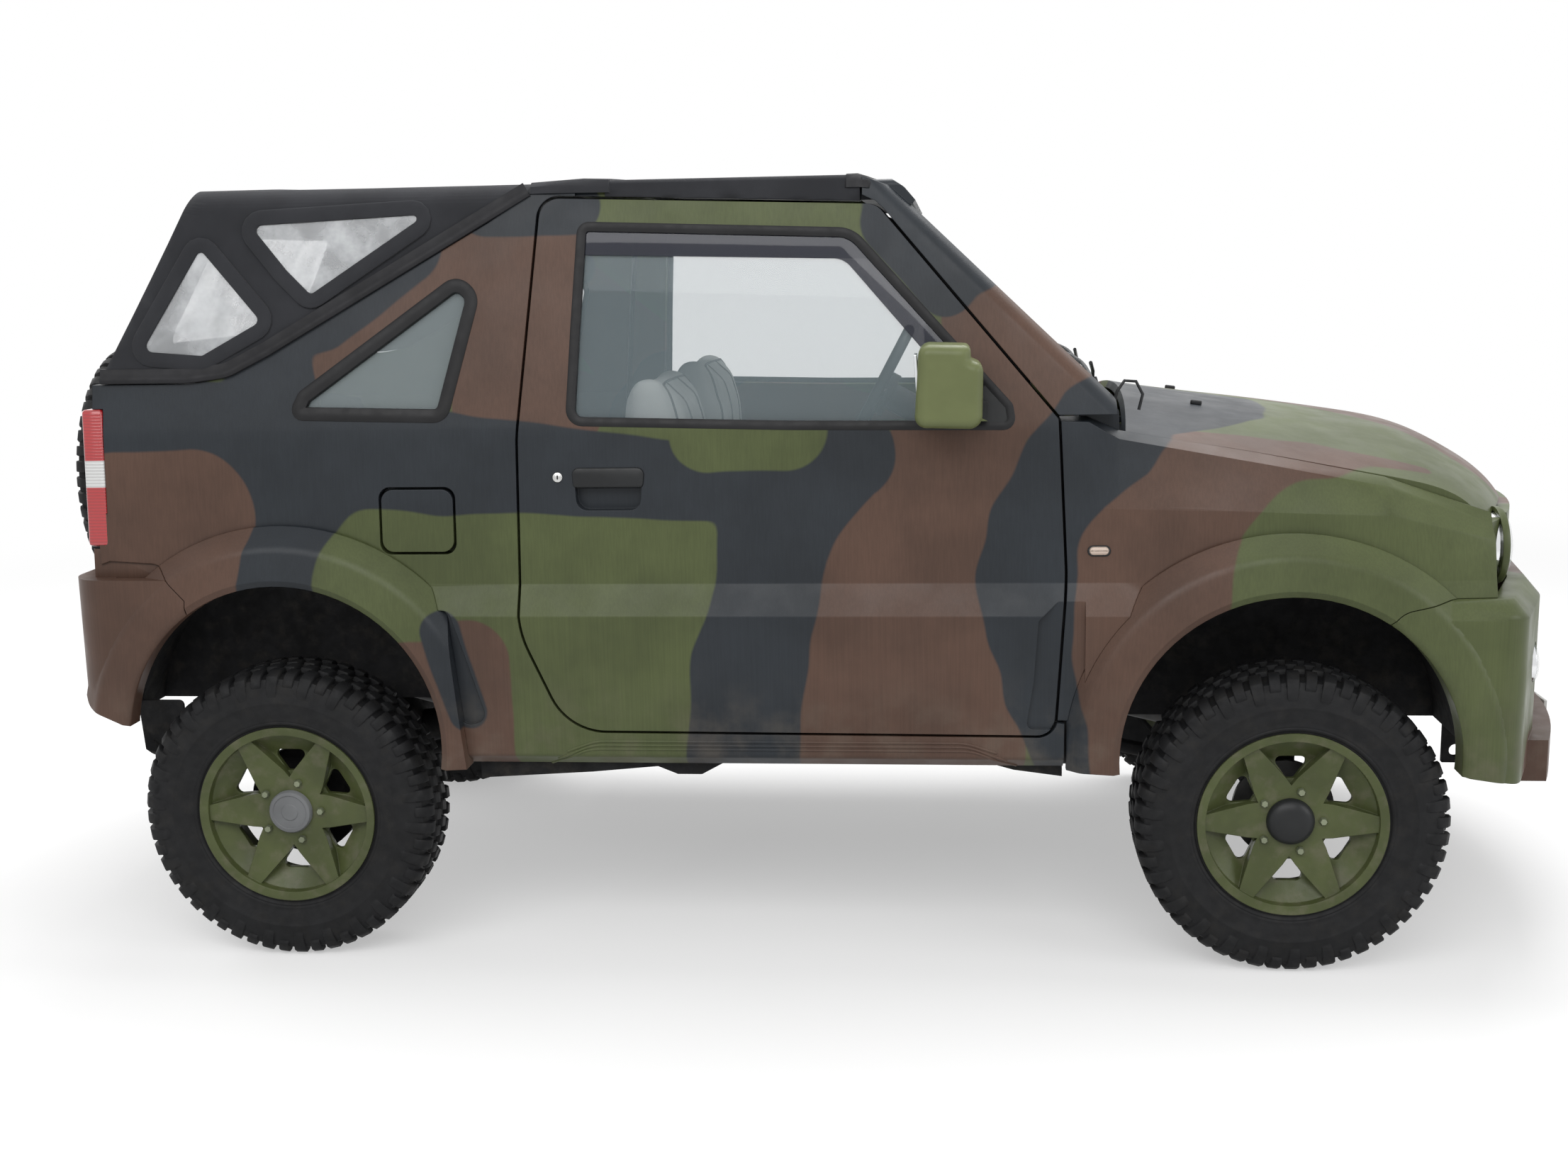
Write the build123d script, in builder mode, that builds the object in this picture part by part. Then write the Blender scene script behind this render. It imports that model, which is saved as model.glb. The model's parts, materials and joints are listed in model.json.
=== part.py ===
# Army 4x4 car: a short three-door off-road car with a fabric rear top, camouflage
# paint, wide wheel arch flares and mud tyres. All sizes are in millimetres.
# +X is forward, +Y is the car's left and +Z is up. Every x below is counted from
# the rear axle; the planes in side(), level() and station() put the origin on the
# ground under the middle of the car's length.
import os
from math import atan2, cos, radians, sin

from build123d import *

os.makedirs("parts", exist_ok=True)

# Overall
wheelbase = 2250
front_reach = 2950  # foremost point, the lip of the front bumper
rear_reach = 665  # rearmost point, the spare tyre's outer wall
rear_axle_x = (rear_reach - front_reach) / 2
bumper_x = front_reach - 38  # front bumper's face on the middle line
nose_x = bumper_x - 66  # nose panel's face on the middle line
nose_half_width = 640
far = 1200  # half width of the tools that cut right through a side

# Wheels
axle_height = 338
tyre_radius = 338
tyre_width = 200
rim_lip_radius = 205
wheel_middle_y = 683  # half the track
hub_radius = 62
stub_radius = 24
spoke_count = 6
rim_disc_u = 30  # rim disc's mounting face, outward from the wheel's middle

# Steering
kingpin_y = 600
kingpin_lean = 8  # degrees, top inward
kingpin_caster = 3  # degrees, top rearward

# Body
body_half_width = 768
panel_gap = 6
seat_gap = 0.4  # between pieces that rest on each other
skin = 18  # thickness of bonnet, wings and floor sheet
door_skin_depth = 22
door_step = 9  # how far the door's inner part stands in from its outer flange
glass_thickness = 5
glass_inset = 9  # glass surface behind the panel surface
layer_foot_z = 1150  # where the layers that become side glass start, below every window
sill_z = 455
belt_z = 1205
seam_z = 832  # front bumper's upper seam
hoop_edge_z = 1726  # top of the hoop and the centre pillars at the roof's side
body_rear_x = -408
wing_rear_x = 1757
arch_lip_radius = 361
arch_outer_radius = 491
arch_cut_radius = 374
flare_half_width = 800
front_arch = (2235, 484)
rear_arch = (16, 511)
liner_radius = 396
rail_half_gap = 330  # between the middle plane and a frame rail's inner face
rail_width = 52
floor_top_z = 620

# Right side wall from the sill to the roof, half width, height, corner radius.
wall_outside = (
    (724, 455, 0),
    (762, 480, 14),
    (body_half_width, 799, 9),
    (739, 868, 9),
    (717, belt_z, 300),
    (624, 1745, 0),
)
wall_inside = (
    (584, 1745, 0),
    (668, 1190, 30),
    (668, 455, 0),
)

# Side view outlines: x from the rear axle, height, corner radius.
door_edge = (
    (618, 1707, 45),
    (564, 1190, 400),
    (562, 765, 230),
    (662, 540, 130),
    (1735, 534, 40),
    (1757, 880, 400),
    (1741, 1220, 10),
    (1352, 1680, 45),
)
door_window = (
    (704, 1650, 22),
    (688, 1430, 900),
    (675, 1220, 32),
    (1160, 1207, 2500),
    (1648, 1202, 30),
    (1640, 1250, 18),
    (1300, 1626, 70),
)
quarter_window = (
    (50, 1240, 30),
    (400, 1231, 34),
    (474, 1500, 42),
    (430, 1540, 42),
    (75, 1290, 22),
)
rear_quarter = (
    (-450, 1316, 0),
    (-185, 1315, 100),
    (-92, 1329, 100),
    (2, 1376, 200),
    (498, 1655, 120),
    (610, hoop_edge_z, 0),
    (694, hoop_edge_z, 0),
    (694, 700, 0),
    (wing_rear_x, 560, 0),
    (wing_rear_x, sill_z, 0),
    (-180, sill_z, 0),
    (-180, 800, 0),
    (-450, 800, 0),
)
pillar_front = (
    (1735, 1228, 0),
    (1352, 1686, 20),
    (1322, 1700, 0),
    (1322, 1740, 0),
    (1388, 1716, 30),
    (1436, 1676, 20),
    (1842, 1290, 30),
    (1866, 1256, 12),
    (1866, 1228, 0),
)
pillar_round = 42  # radius between a pillar's outer face and the windscreen

front_bumper_side = (
    (2434, 785, 0),
    (2459, 811, 60),
    (2567, seam_z - 1, 60),
    (bumper_x - 12, seam_z - 1, 60),
    (front_reach + 10, 700, 0),
    (front_reach + 10, 440, 0),
    (2720, 432, 60),
    (2600, 456, 0),
    (2400, 456, 0),
)
rear_bumper_side = (
    (-191, 840, 0),
    (-271, 914, 50),
    (-384, 921, 0),
    (-500, 880, 14),
    (-500, 690, 30),
    (-455, 590, 30),
    (-336, 548, 0),
    (-191, 548, 0),
)

# Plan view outline of the body behind the bonnet, with rounded rear corners.
body_plan = (
    (body_rear_x, -790, 75),
    (2000, -790, 0),
    (2000, 790, 0),
    (body_rear_x, 790, 75),
)
flap_low, flap_high = (248, 937), (416, 1081)


def fuel_flap_rows(gap):
    return (
        (flap_low[0] - gap, flap_low[1] - gap, 26),
        (flap_high[0] + gap, flap_low[1] - gap, 26),
        (flap_high[0] + gap, flap_high[1] + gap, 26),
        (flap_low[0] - gap, flap_high[1] + gap, 26),
    )


def side(y):
    # A side view plane; what it extrudes goes towards the car's right.
    return Plane(origin=(rear_axle_x, y, 0), x_dir=(1, 0, 0), z_dir=(0, -1, 0))


def level(z):
    return Plane(origin=(rear_axle_x, 0, z))


def station(x):
    # A cross-section plane; its own x is the car's left and its y is up.
    return Plane(origin=(rear_axle_x + x, 0, 0), x_dir=(0, 1, 0), z_dir=(1, 0, 0))


def outline(rows):
    FilletPolyline(*((a, b) for a, b, r in rows), radius=[r for a, b, r in rows], close=True)


def block(x_span, y_span, z_span, mode=Mode.ADD):
    low, high = zip(x_span, y_span, z_span)
    middle = [(a + b) / 2 for a, b in zip(low, high)]
    with Locations((rear_axle_x + middle[0], middle[1], middle[2])):
        Box(high[0] - low[0], high[1] - low[1], high[2] - low[2], mode=mode)


def bar(start, end, radius, mode=Mode.ADD):
    # A round bar between two points.
    a = Vector(rear_axle_x + start[0], start[1], start[2])
    b = Vector(rear_axle_x + end[0], end[1], end[2])
    with Locations(Plane(origin=(a + b) / 2, z_dir=b - a).location):
        Cylinder(radius, (b - a).length, mode=mode)


def side_prism(rows, y_span):
    # A side view outline as a solid from y_span[0] to y_span[1].
    with BuildPart() as prism:
        with BuildSketch(side(y_span[1])):
            with BuildLine():
                outline(rows)
            make_face()
        extrude(amount=y_span[1] - y_span[0])
    return prism.part


def plan_prism(rows, z_span):
    with BuildPart() as prism:
        with BuildSketch(level(z_span[0])):
            with BuildLine():
                outline(rows)
            make_face()
        extrude(amount=z_span[1] - z_span[0])
    return prism.part


def grown(rows, gap, y_span):
    with BuildPart() as prism:
        with BuildSketch(side(y_span[1])):
            with BuildLine():
                outline(rows)
            make_face()
            offset(amount=gap)
        extrude(amount=y_span[1] - y_span[0])
    return prism.part


def wall(x_span):
    # The right side wall as one long shell.
    with BuildPart() as shell:
        with BuildSketch(station(x_span[0])):
            with BuildLine():
                outline([(-w, z, r) for w, z, r in wall_outside + wall_inside])
            make_face()
        extrude(amount=x_span[1] - x_span[0])
    return shell.part


def wall_core(x_span):
    # What lies behind the outer flange's depth of the right wall.
    with BuildPart() as core:
        with BuildSketch(station(x_span[0])):
            with BuildLine():
                outline([
                    *((-(w - door_skin_depth), z, r) for w, z, r in wall_outside),
                    (-500, wall_outside[-1][1], 0),
                    (-500, wall_outside[0][1], 0),
                ])
            make_face()
        extrude(amount=x_span[1] - x_span[0])
    return core.part


def wall_layer(x_span, inset, thickness):
    # A thin layer of the right wall above the belt, for the glass.
    foot, top = wall_outside[-2], wall_outside[-1]
    slope = (foot[0] - top[0]) / (top[1] - foot[1])
    low = foot[0] + (foot[1] - layer_foot_z) * slope
    with BuildPart() as layer:
        with BuildSketch(station(x_span[0])):
            with BuildLine():
                outline([
                    (-(low - inset), layer_foot_z, 0),
                    (-(top[0] - inset), top[1], 0),
                    (-(top[0] - inset - thickness), top[1], 0),
                    (-(low - inset - thickness), layer_foot_z, 0),
                ])
            make_face()
        extrude(amount=x_span[1] - x_span[0])
    return layer.part


def arch_hole(centre, radius, y_span):
    with BuildPart() as hole:
        with BuildSketch(side(y_span[1])):
            with Locations(centre):
                Circle(radius)
        extrude(amount=y_span[1] - y_span[0])
    return hole.part


right_half = (-far, 0)

# Arch flares: one turned ring, cut to length for each of the four arches.
flare_ring = (
    # radius, half width, corner radius
    (arch_outer_radius, 741, 0),
    (arch_outer_radius - 46, 786, 40),
    (arch_lip_radius + 14, flare_half_width, 0),
    (arch_lip_radius, flare_half_width - 10, 0),
    (arch_lip_radius, 745, 0),
    (arch_cut_radius - 2, 745, 0),
    (arch_cut_radius - 2, 728, 0),
)
flare_cuts = (
    # arch centre, polygon kept
    (front_arch, (
        (1762, 455), (1762, 1000), (2600, 1000), (2600, 820), (2420, 700), (2235, 484), (2100, 455),
    )),
    (rear_arch, (
        (-300, 880), (-300, 1020), (500, 1020), (396, 800), (432, 455), (100, 455), (16, 511),
        (-192, 700),
    )),
)


def whole_flare(centre):
    # The turning starts straight down, where every arch is open.
    down = Plane(
        origin=(rear_axle_x + centre[0], 0, centre[1]), x_dir=(0, 0, -1), z_dir=(1, 0, 0)
    )
    with BuildPart() as ring:
        with BuildSketch(down):
            with BuildLine():
                outline([(r, -w, c) for r, w, c in flare_ring])
            make_face()
        revolve(axis=Axis((rear_axle_x + centre[0], 0, centre[1]), (0, 1, 0)))
    return ring.part


with BuildPart() as arch_flares:
    for centre, kept in flare_cuts:
        add(whole_flare(centre) & side_prism([(x, z, 0) for x, z in kept], right_half))
    add(grown(front_bumper_side, 2, right_half), mode=Mode.SUBTRACT)
    add(grown(rear_bumper_side, 2, right_half), mode=Mode.SUBTRACT)
    mirror(about=Plane.XZ)


def lamp_box(gap, mode):
    # The right tail lamp's block on the body's rear corner.
    block((-432, -384 + gap), (-728 - gap, -640 + gap), (955 - gap, 1262 + gap), mode)


# Ladder frame: two rails that rise over the axles, joined by five crossmembers.
rail_rows = (
    # x, middle height
    (-432, 620),
    (-250, 690),
    (180, 690),
    (430, 520),
    (1760, 520),
    (1960, 640),
    (2560, 640),
    (2815, 590),
)
rail_height = 84
with BuildPart() as frame_rails:
    with BuildSketch(side(-rail_half_gap)):
        with BuildLine():
            Polyline(
                *((x, z + rail_height / 2) for x, z in rail_rows),
                *((x, z - rail_height / 2) for x, z in reversed(rail_rows)),
                close=True,
            )
        make_face()
    extrude(amount=rail_width)
    mirror(about=Plane.XZ)

# Recesses in the side: a scoop before the rear flare and a step behind the front one.
recess_face_y = -755
scoop_rows = (
    (346, 812, 24),
    (402, 812, 24),
    (478, 560, 24),
    (420, 548, 24),
)
front_step_rows = (
    (1700, 790, 14),
    (1745, 832, 20),
    (1800, 832, 0),
    (1800, 548, 0),
    (1674, 548, 14),
    (1690, 650, 60),
)


def recess(rows):
    return side_prism(rows, (-far, recess_face_y))


# Body sides: rear quarter, centre pillar and sill in one pressing.
striker_z = 1095
striker_face_y = -700.9
flap_inner_y = -712
with BuildPart() as body_side_right:
    add(wall((body_rear_x, wing_rear_x)))
    add(side_prism(rear_quarter, right_half), mode=Mode.INTERSECT)
    add(grown(door_edge, panel_gap, right_half), mode=Mode.SUBTRACT)
    add(grown(quarter_window, 0, right_half), mode=Mode.SUBTRACT)
    add(arch_hole(rear_arch, arch_cut_radius, right_half), mode=Mode.SUBTRACT)
    add(plan_prism(body_plan, (0, 2000)), mode=Mode.INTERSECT)
    add(side_prism(fuel_flap_rows(panel_gap / 2), (-far, -690)), mode=Mode.SUBTRACT)
    add(recess(scoop_rows), mode=Mode.SUBTRACT)
    add(arch_flares.part, mode=Mode.SUBTRACT)
    add(grown(rear_bumper_side, seat_gap, right_half), mode=Mode.SUBTRACT)
    lamp_box(seat_gap, Mode.SUBTRACT)
    # The door's outer flange closes on this latch striker.
    block((540, 566), (striker_face_y, striker_face_y + 20), (striker_z - 14, striker_z + 14))
    # The fuel flap's inner face rests on this stop beside its hinge.
    block((398, 414), (flap_inner_y + seat_gap, -684), (1000, 1018))
with BuildPart() as body_side_left:
    mirror(body_side_right.part, about=Plane.XZ)

# Rear frame between the two body sides, round the tailgate opening.
gate_half_width = 585
gate_z = (748, 1312)
rear_frame_depth = 34
gate_hinge = (-432, -592)  # x and y of its pin
gate_hinge_radius = 9
gate_knuckle = 40
gate_hinge_heights = (980, 1220)
hinge_play = 0.5
with BuildPart() as rear_frame:
    with BuildSketch(station(body_rear_x + 2)):
        with BuildLine():
            outline([
                (-664, 672, 0), (664, 672, 0), (664, 1180, 0), (640, 1316, 0),
                (-640, 1316, 0), (-664, 1180, 0),
            ])
        make_face()
    extrude(amount=rear_frame_depth - 2)
    block(
        (body_rear_x - 10, body_rear_x + 60),
        (-gate_half_width - panel_gap, gate_half_width + panel_gap),
        (gate_z[0] - panel_gap, 1400),
        Mode.SUBTRACT,
    )
    lamp_box(seat_gap, Mode.SUBTRACT)
    add(frame_rails.part, mode=Mode.SUBTRACT)
    split(bisect_by=Plane.XZ)
    mirror(about=Plane.XZ)
    for z in gate_hinge_heights:
        low_z = z + gate_knuckle / 2 + hinge_play
        bar((*gate_hinge, low_z), (*gate_hinge, low_z + 22), gate_hinge_radius)
        block(
            (gate_hinge[0] - 4, body_rear_x + 3), (gate_hinge[1] - 20, gate_hinge[1]),
            (low_z, low_z + 22),
        )

# Windscreen frame: two pillars cut from the wall section, a header and a cowl.
screen_base = (1850, 1268)
screen_top = (1428, 1674)
screen_slope = atan2(screen_top[1] - screen_base[1], screen_base[0] - screen_top[0])
cowl_x = 1876  # the cowl's front face
screen_plane = Plane(
    origin=(rear_axle_x + screen_base[0], 0, screen_base[1]),
    x_dir=(0, -1, 0),
    z_dir=(-cos(screen_slope), 0, sin(screen_slope)),
)


def pillar_facet(share):
    # Cuts the right pillar's front corner back to one facet of its rounding.
    foot, top = wall_outside[-2], wall_outside[-1]
    side_normal = Vector(0, foot[1] - top[1], foot[0] - top[0]).normalized()
    front_normal = Vector(sin(screen_slope), 0, cos(screen_slope))
    base = Vector(rear_axle_x + screen_base[0], 0, screen_base[1])
    base_half_width = foot[0] - (base.Z - foot[1]) * (foot[0] - top[0]) / (top[1] - foot[1])
    corner = Vector(base.X, -base_half_width, base.Z)
    middle = corner - (side_normal + front_normal) * (
        pillar_round / (1 + side_normal.dot(front_normal))
    )
    facing = (side_normal * (1 - share) + front_normal * share).normalized()
    with BuildPart() as cutter:
        with Locations(Plane(origin=middle + facing * (pillar_round + 50), z_dir=facing).location):
            Box(1600, 1600, 100)
    return cutter.part


# The header is crowned like the roof and slopes with the windscreen in front.
header_rows = (
    (1318, 1690, 0),
    (1318, 1770, 0),
    (1360, 1750, 60),
    (1412, 1716, 30),
    (1436, 1688, 0),
    (1425, 1672, 0),
    (1400, 1690, 0),
)
with BuildPart() as header_bar:
    with BuildSketch(station(1318)):
        with BuildLine():
            outline([
                (-600, 1680, 0), (-600, 1733, 14), (0, 1753, 3000), (600, 1733, 14), (600, 1680, 0),
            ])
        make_face()
    extrude(amount=140)
    add(side_prism(header_rows, (-far, far)), mode=Mode.INTERSECT)
header = header_bar.part
with BuildPart() as windscreen_frame:
    add(wall((1300, 1900)))
    add(side_prism(pillar_front, (-far, -far / 4)), mode=Mode.INTERSECT)
    add(grown(door_edge, panel_gap, right_half), mode=Mode.SUBTRACT)
    for share in (0.2, 0.4, 0.6, 0.8):
        add(pillar_facet(share), mode=Mode.SUBTRACT)
    mirror(about=Plane.XZ)
    add(header)
    with BuildSketch(side(640)):
        with BuildLine():
            outline([
                (1790, 1165, 0), (cowl_x, 1165, 0), (cowl_x, 1230, 12), (1850, 1258, 10),
                (1790, 1246, 0),
            ])
        make_face()
    extrude(amount=2 * 640)
    block((1792, 1846), (-680, 680), (1230, 1245))
    block((cowl_x - 10, 1960), (-540, 540), (1128, 1136))
    block((cowl_x - 10, cowl_x), (-540, 540), (1130, 1170))

# Bonnet hinges: knuckles of the bonnet turn beside knuckles on the cowl.
hinge_x, hinge_y, hinge_z = 1934, 280, 1200
hinge_radius = 9
hinge_width = 40
bracket_width = 14
bracket_reach = hinge_y - hinge_width / 2 - hinge_play
with BuildPart() as bonnet_brackets:
    for y in (-bracket_reach, bracket_reach - bracket_width):
        bar((hinge_x, y, hinge_z), (hinge_x, y + bracket_width, hinge_z), hinge_radius)
        block((cowl_x, hinge_x), (y, y + bracket_width), (hinge_z - 30, hinge_z - 16))
        block(
            (hinge_x - hinge_radius, hinge_x + hinge_radius), (y, y + bracket_width),
            (hinge_z - 30, hinge_z),
        )

# Roof frame: the hoop over the seats' backs and a rail over each door.
with BuildPart() as roof_frame:
    with BuildSketch(station(694)):
        with BuildLine():
            outline([
                (-624, 1696, 0), (-617, hoop_edge_z, 12), (0, 1746, 5200), (617, hoop_edge_z, 12),
                (624, 1696, 0), (584, 1696, 0), (574, 1708, 6), (0, 1726, 5200),
                (-574, 1708, 6), (-584, 1696, 0),
            ])
        make_face()
    extrude(amount=66)
    for y in (-612, 580):
        block((760, 1318 - seat_gap), (y, y + 32), (1680, hoop_edge_z))
    add(grown(door_edge, panel_gap, (-far, far)), mode=Mode.SUBTRACT)

# Doors, with the glass in a channel behind the panel surface.
handle_pocket_y = -700
handle_pocket_rows = (
    (692, 1030, 26),
    (834, 1030, 26),
    (839, 1118, 14),
    (687, 1118, 14),
)
with BuildPart() as door_right:
    add(wall((500, 1800)))
    add(side_prism(door_edge, right_half), mode=Mode.INTERSECT)
    with BuildPart(mode=Mode.SUBTRACT):
        # The inner part of the door is smaller than its outer flange all round.
        add(wall_core((500, 1800)))
        add(grown(door_edge, -door_step, right_half), mode=Mode.SUBTRACT)
    add(side_prism(door_window, right_half), mode=Mode.SUBTRACT)
    add(side_prism(handle_pocket_rows, (-far, handle_pocket_y)), mode=Mode.SUBTRACT)
    add(recess(front_step_rows), mode=Mode.SUBTRACT)
with BuildPart() as door_left:
    mirror(door_right.part, about=Plane.XZ)
with BuildPart() as door_glass_right:
    add(wall_layer((600, 1700), glass_inset, glass_thickness))
    add(grown(door_window, -0.5, right_half), mode=Mode.INTERSECT)
with BuildPart() as door_glass_left:
    mirror(door_glass_right.part, about=Plane.XZ)

# Quarter glass and windscreen.
screen_thickness = 6
with BuildPart() as windscreen:
    screen_length = (Vector(*screen_top) - Vector(*screen_base)).length
    with BuildSketch(screen_plane):
        with BuildLine():
            ThreePointArc((-680, -16), (0, -4), (680, -16))
            Line((680, -16), (680, -16 - screen_thickness))
            ThreePointArc(
                (680, -16 - screen_thickness), (0, -4 - screen_thickness), (-680, -16 - screen_thickness)
            )
            Line((-680, -16 - screen_thickness), (-680, -16))
        make_face()
    extrude(amount=screen_length)

    with BuildPart(mode=Mode.INTERSECT):
        with BuildSketch(station(1300)):
            with BuildLine():
                Polyline((-657, 1230), (-585, 1702), (585, 1702), (657, 1230), close=True)
            make_face()
        extrude(amount=600)
    add(windscreen_frame.part, mode=Mode.SUBTRACT)
with BuildPart() as glass_seats:
    for y in (-1, 1):
        with BuildSketch(screen_plane):
            with Locations((y * 640, -24)):
                Rectangle(90, 22)
        extrude(amount=screen_length)
    with BuildPart(mode=Mode.INTERSECT):
        with BuildSketch(station(1300)):
            with BuildLine():
                Polyline((-664, 1230), (-592, 1702), (592, 1702), (664, 1230), close=True)
            make_face()
        extrude(amount=600)
    add(windscreen.part, mode=Mode.SUBTRACT)
    add(windscreen_frame.part, mode=Mode.SUBTRACT)
with BuildPart() as body_glass:
    add(wall_layer((0, 600), glass_inset, glass_thickness))
    add(grown(quarter_window, -0.5, right_half), mode=Mode.INTERSECT)
    mirror(about=Plane.XZ)
    add(windscreen.part)

# Bonnet and wings. Each row is one point of the lengthwise profile: where it lies
# on the middle line and where it lies on the bonnet's side edge.
bonnet_half_width = nose_half_width
bonnet_rows = (
    # middle x, middle z, edge x, edge z
    (1925, 1246, 1890, 1178),
    (2258, 1201, 2171, 1137),
    (nose_x - 370, 1170, nose_x - 456, 1095),
    (nose_x - 225, 1137, nose_x - 346, 1073),
    (nose_x - 135, 1092, nose_x - 270, 1050),
    (nose_x - 60, 1040, nose_x - 220, 1018),
    (nose_x - 24, 1000, nose_x - 196, 984),
)


def bonnet_point(row, y, sink):
    share = (y / bonnet_half_width) ** 2
    x = row[0] + (row[2] - row[0]) * share
    z = row[1] + (row[3] - row[1]) * share
    return x - sink * 0.5, z - sink


bonnet_stations = (-1, -0.75, -0.375, 0, 0.375, 0.75, 1)  # shares of the half width
with BuildPart() as bonnet:
    for share in bonnet_stations:
        y = share * bonnet_half_width
        top = [bonnet_point(row, y, 0) for row in bonnet_rows]
        under = [bonnet_point(row, y, skin) for row in bonnet_rows[:-1]]
        end = (top[-1][0] - skin, top[-1][1])
        with BuildSketch(side(y)):
            with BuildLine():
                Spline(*top)
                Polyline(top[-1], end)
                Spline(end, *reversed(under))
                Polyline(under[0], top[0])
            make_face()
    loft()
    for y in (-hinge_y, hinge_y):
        near, beyond = y - hinge_width / 2, y + hinge_width / 2
        block((hinge_x - hinge_radius, hinge_x + hinge_radius), (near, beyond), (hinge_z, hinge_z + 22))
        bar((hinge_x, near, hinge_z), (hinge_x, beyond, hinge_z), hinge_radius)

# Front wings, lofted through cross-sections of the same make.
wing_front_x = nose_x - 178
wing_rows = (
    # x, top edge z, shoulder y, shoulder z, crease y, crease z, waist y, band y, foot y
    (1700, 1221, 711, 1216, 728, 1029, 739, 768, 724),
    (1806, 1219, 711, 1212, 728, 1029, 739, 768, 724),
    (1872, 1189, 700, 1174, 727, 1026, 739, 768, 724),
    (2171, 1137, 688, 1118, 726, 1018, 739, 768, 724),
    (2440, 1083, 684, 1066, 722, 1008, 735, 764, 722),
    (wing_front_x, 1004, 660, 980, 690, 950, 712, 740, 716),
)
wing_side = (
    (1700, 1230, 0),
    (wing_front_x + 32, 1230, 0),
    (wing_front_x + 32, seam_z, 0),
    (2567, seam_z, 40),
    (2459, 812, 60),
    (2433, 786, 0),
    (2300, 700, 0),
    (2200, 566, 0),
    (1700, 566, 0),
)
wing_plan = (
    (1700, -800, 0),
    (wing_front_x - 2, -800, 70),
    (wing_front_x - 6, -600, 0),
    (1700, -600, 0),
)
with BuildPart() as front_wings:
    for x, top_z, shoulder_y, shoulder_z, crease_y, crease_z, waist_y, band_y, foot_y in wing_rows:
        with BuildSketch(station(x)):
            with BuildLine():
                outline([
                    (-bonnet_half_width - panel_gap, top_z, 0),
                    (-shoulder_y, shoulder_z, 0),
                    (-crease_y, crease_z, 0),
                    (-waist_y, 868, 0),
                    (-band_y, 799, 0),
                    (-band_y + 6, 480, 0),
                    (-foot_y, sill_z, 0),
                    (-foot_y + 30, sill_z, 0),
                    (-band_y + 40, 490, 0),
                    (-band_y + 40, 790, 0),
                    (-waist_y + 30, 860, 0),
                    (-crease_y + 28, crease_z - 16, 0),
                    (-bonnet_half_width - panel_gap, top_z - 2 * skin, 0),
                ])
            make_face()
    loft(ruled=True)
    add(side_prism(wing_side, right_half), mode=Mode.INTERSECT)
    add(grown(door_edge, panel_gap, right_half), mode=Mode.SUBTRACT)
    add(arch_hole(front_arch, arch_cut_radius, right_half), mode=Mode.SUBTRACT)
    add(recess(front_step_rows), mode=Mode.SUBTRACT)
    add(arch_flares.part, mode=Mode.SUBTRACT)
    mirror(about=Plane.XZ)


# Nose: a panel with six upright slots, curved in plan like the bonnet's front edge.
def nose_band(face_x, thickness, half_width, bow, z_span):
    # A band curved in plan: its face is at face_x in the middle and bow further back at its ends.
    with BuildPart() as band:
        with BuildSketch(level(z_span[0])):
            with BuildLine():
                ThreePointArc(
                    (face_x - bow, -half_width), (face_x, 0), (face_x - bow, half_width)
                )
                Line((face_x - bow, half_width), (face_x - bow - thickness, half_width))
                ThreePointArc(
                    (face_x - bow - thickness, half_width),
                    (face_x - thickness, 0),
                    (face_x - bow - thickness, -half_width),
                )
                Line((face_x - bow - thickness, -half_width), (face_x - bow, -half_width))
            make_face()
        extrude(amount=z_span[1] - z_span[0])
    return band.part


nose_bow = 176
panel_half_width = 684
lamp_middle = (520, 912)
lamp_radius = 76
with BuildPart() as front_panel:
    panel_bow = nose_bow * (panel_half_width / nose_half_width) ** 2
    add(nose_band(nose_x, 36, panel_half_width, panel_bow, (seam_z - 1, 980)))
    with BuildSketch(station(nose_x - 346)):
        with BuildLine():
            outline([
                (-panel_half_width, 800, 0), (-panel_half_width, 930, 0), (-nose_half_width, 980, 0),
                (nose_half_width, 980, 0), (panel_half_width, 930, 0), (panel_half_width, 800, 0),
            ])
        make_face()
    extrude(amount=400, mode=Mode.INTERSECT)
    for slot in range(6):
        y = (slot - 2.5) * 112
        block((nose_x - 150, nose_x + 20), (y - 40, y + 40), (856, 964), Mode.SUBTRACT)
    for y in (-lamp_middle[0], lamp_middle[0]):
        with Locations(Location((rear_axle_x + nose_x - 90, y, lamp_middle[1]), (0, 90, 0))):
            Cylinder(lamp_radius + seat_gap, 260, mode=Mode.SUBTRACT)
    add(front_wings.part, mode=Mode.SUBTRACT)
with BuildPart() as lamps:
    for y in (-lamp_middle[0], lamp_middle[0]):
        with Locations(Location((rear_axle_x + nose_x - 128, y, lamp_middle[1]), (0, 90, 0))):
            Cylinder(lamp_radius, 90)
    add(nose_band(nose_x + 2, 60, 636, nose_bow, (700, 1000)), mode=Mode.INTERSECT)
    lamp_box(0, Mode.ADD)
    with BuildPart(mode=Mode.PRIVATE) as tail_lamp:
        lamp_box(0, Mode.ADD)
    mirror(tail_lamp.part, about=Plane.XZ)


def bumper_lip(centre, bumper_side):
    # The flare's ring where it crosses a bumper, on both sides of the car.
    with BuildPart() as lip:
        add(whole_flare(centre) & side_prism(bumper_side, right_half))
        mirror(about=Plane.XZ)
    return lip.part


def shouldered(rows, z_span, top_z, taper):
    # A plan outline as a solid whose sides lean in above z_span.
    with BuildPart() as solid:
        add(plan_prism(rows, z_span))
        with BuildSketch(level(z_span[1])):
            with BuildLine():
                outline(rows)
            make_face()
        extrude(amount=top_z - z_span[1], taper=taper)
    return solid.part


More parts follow.
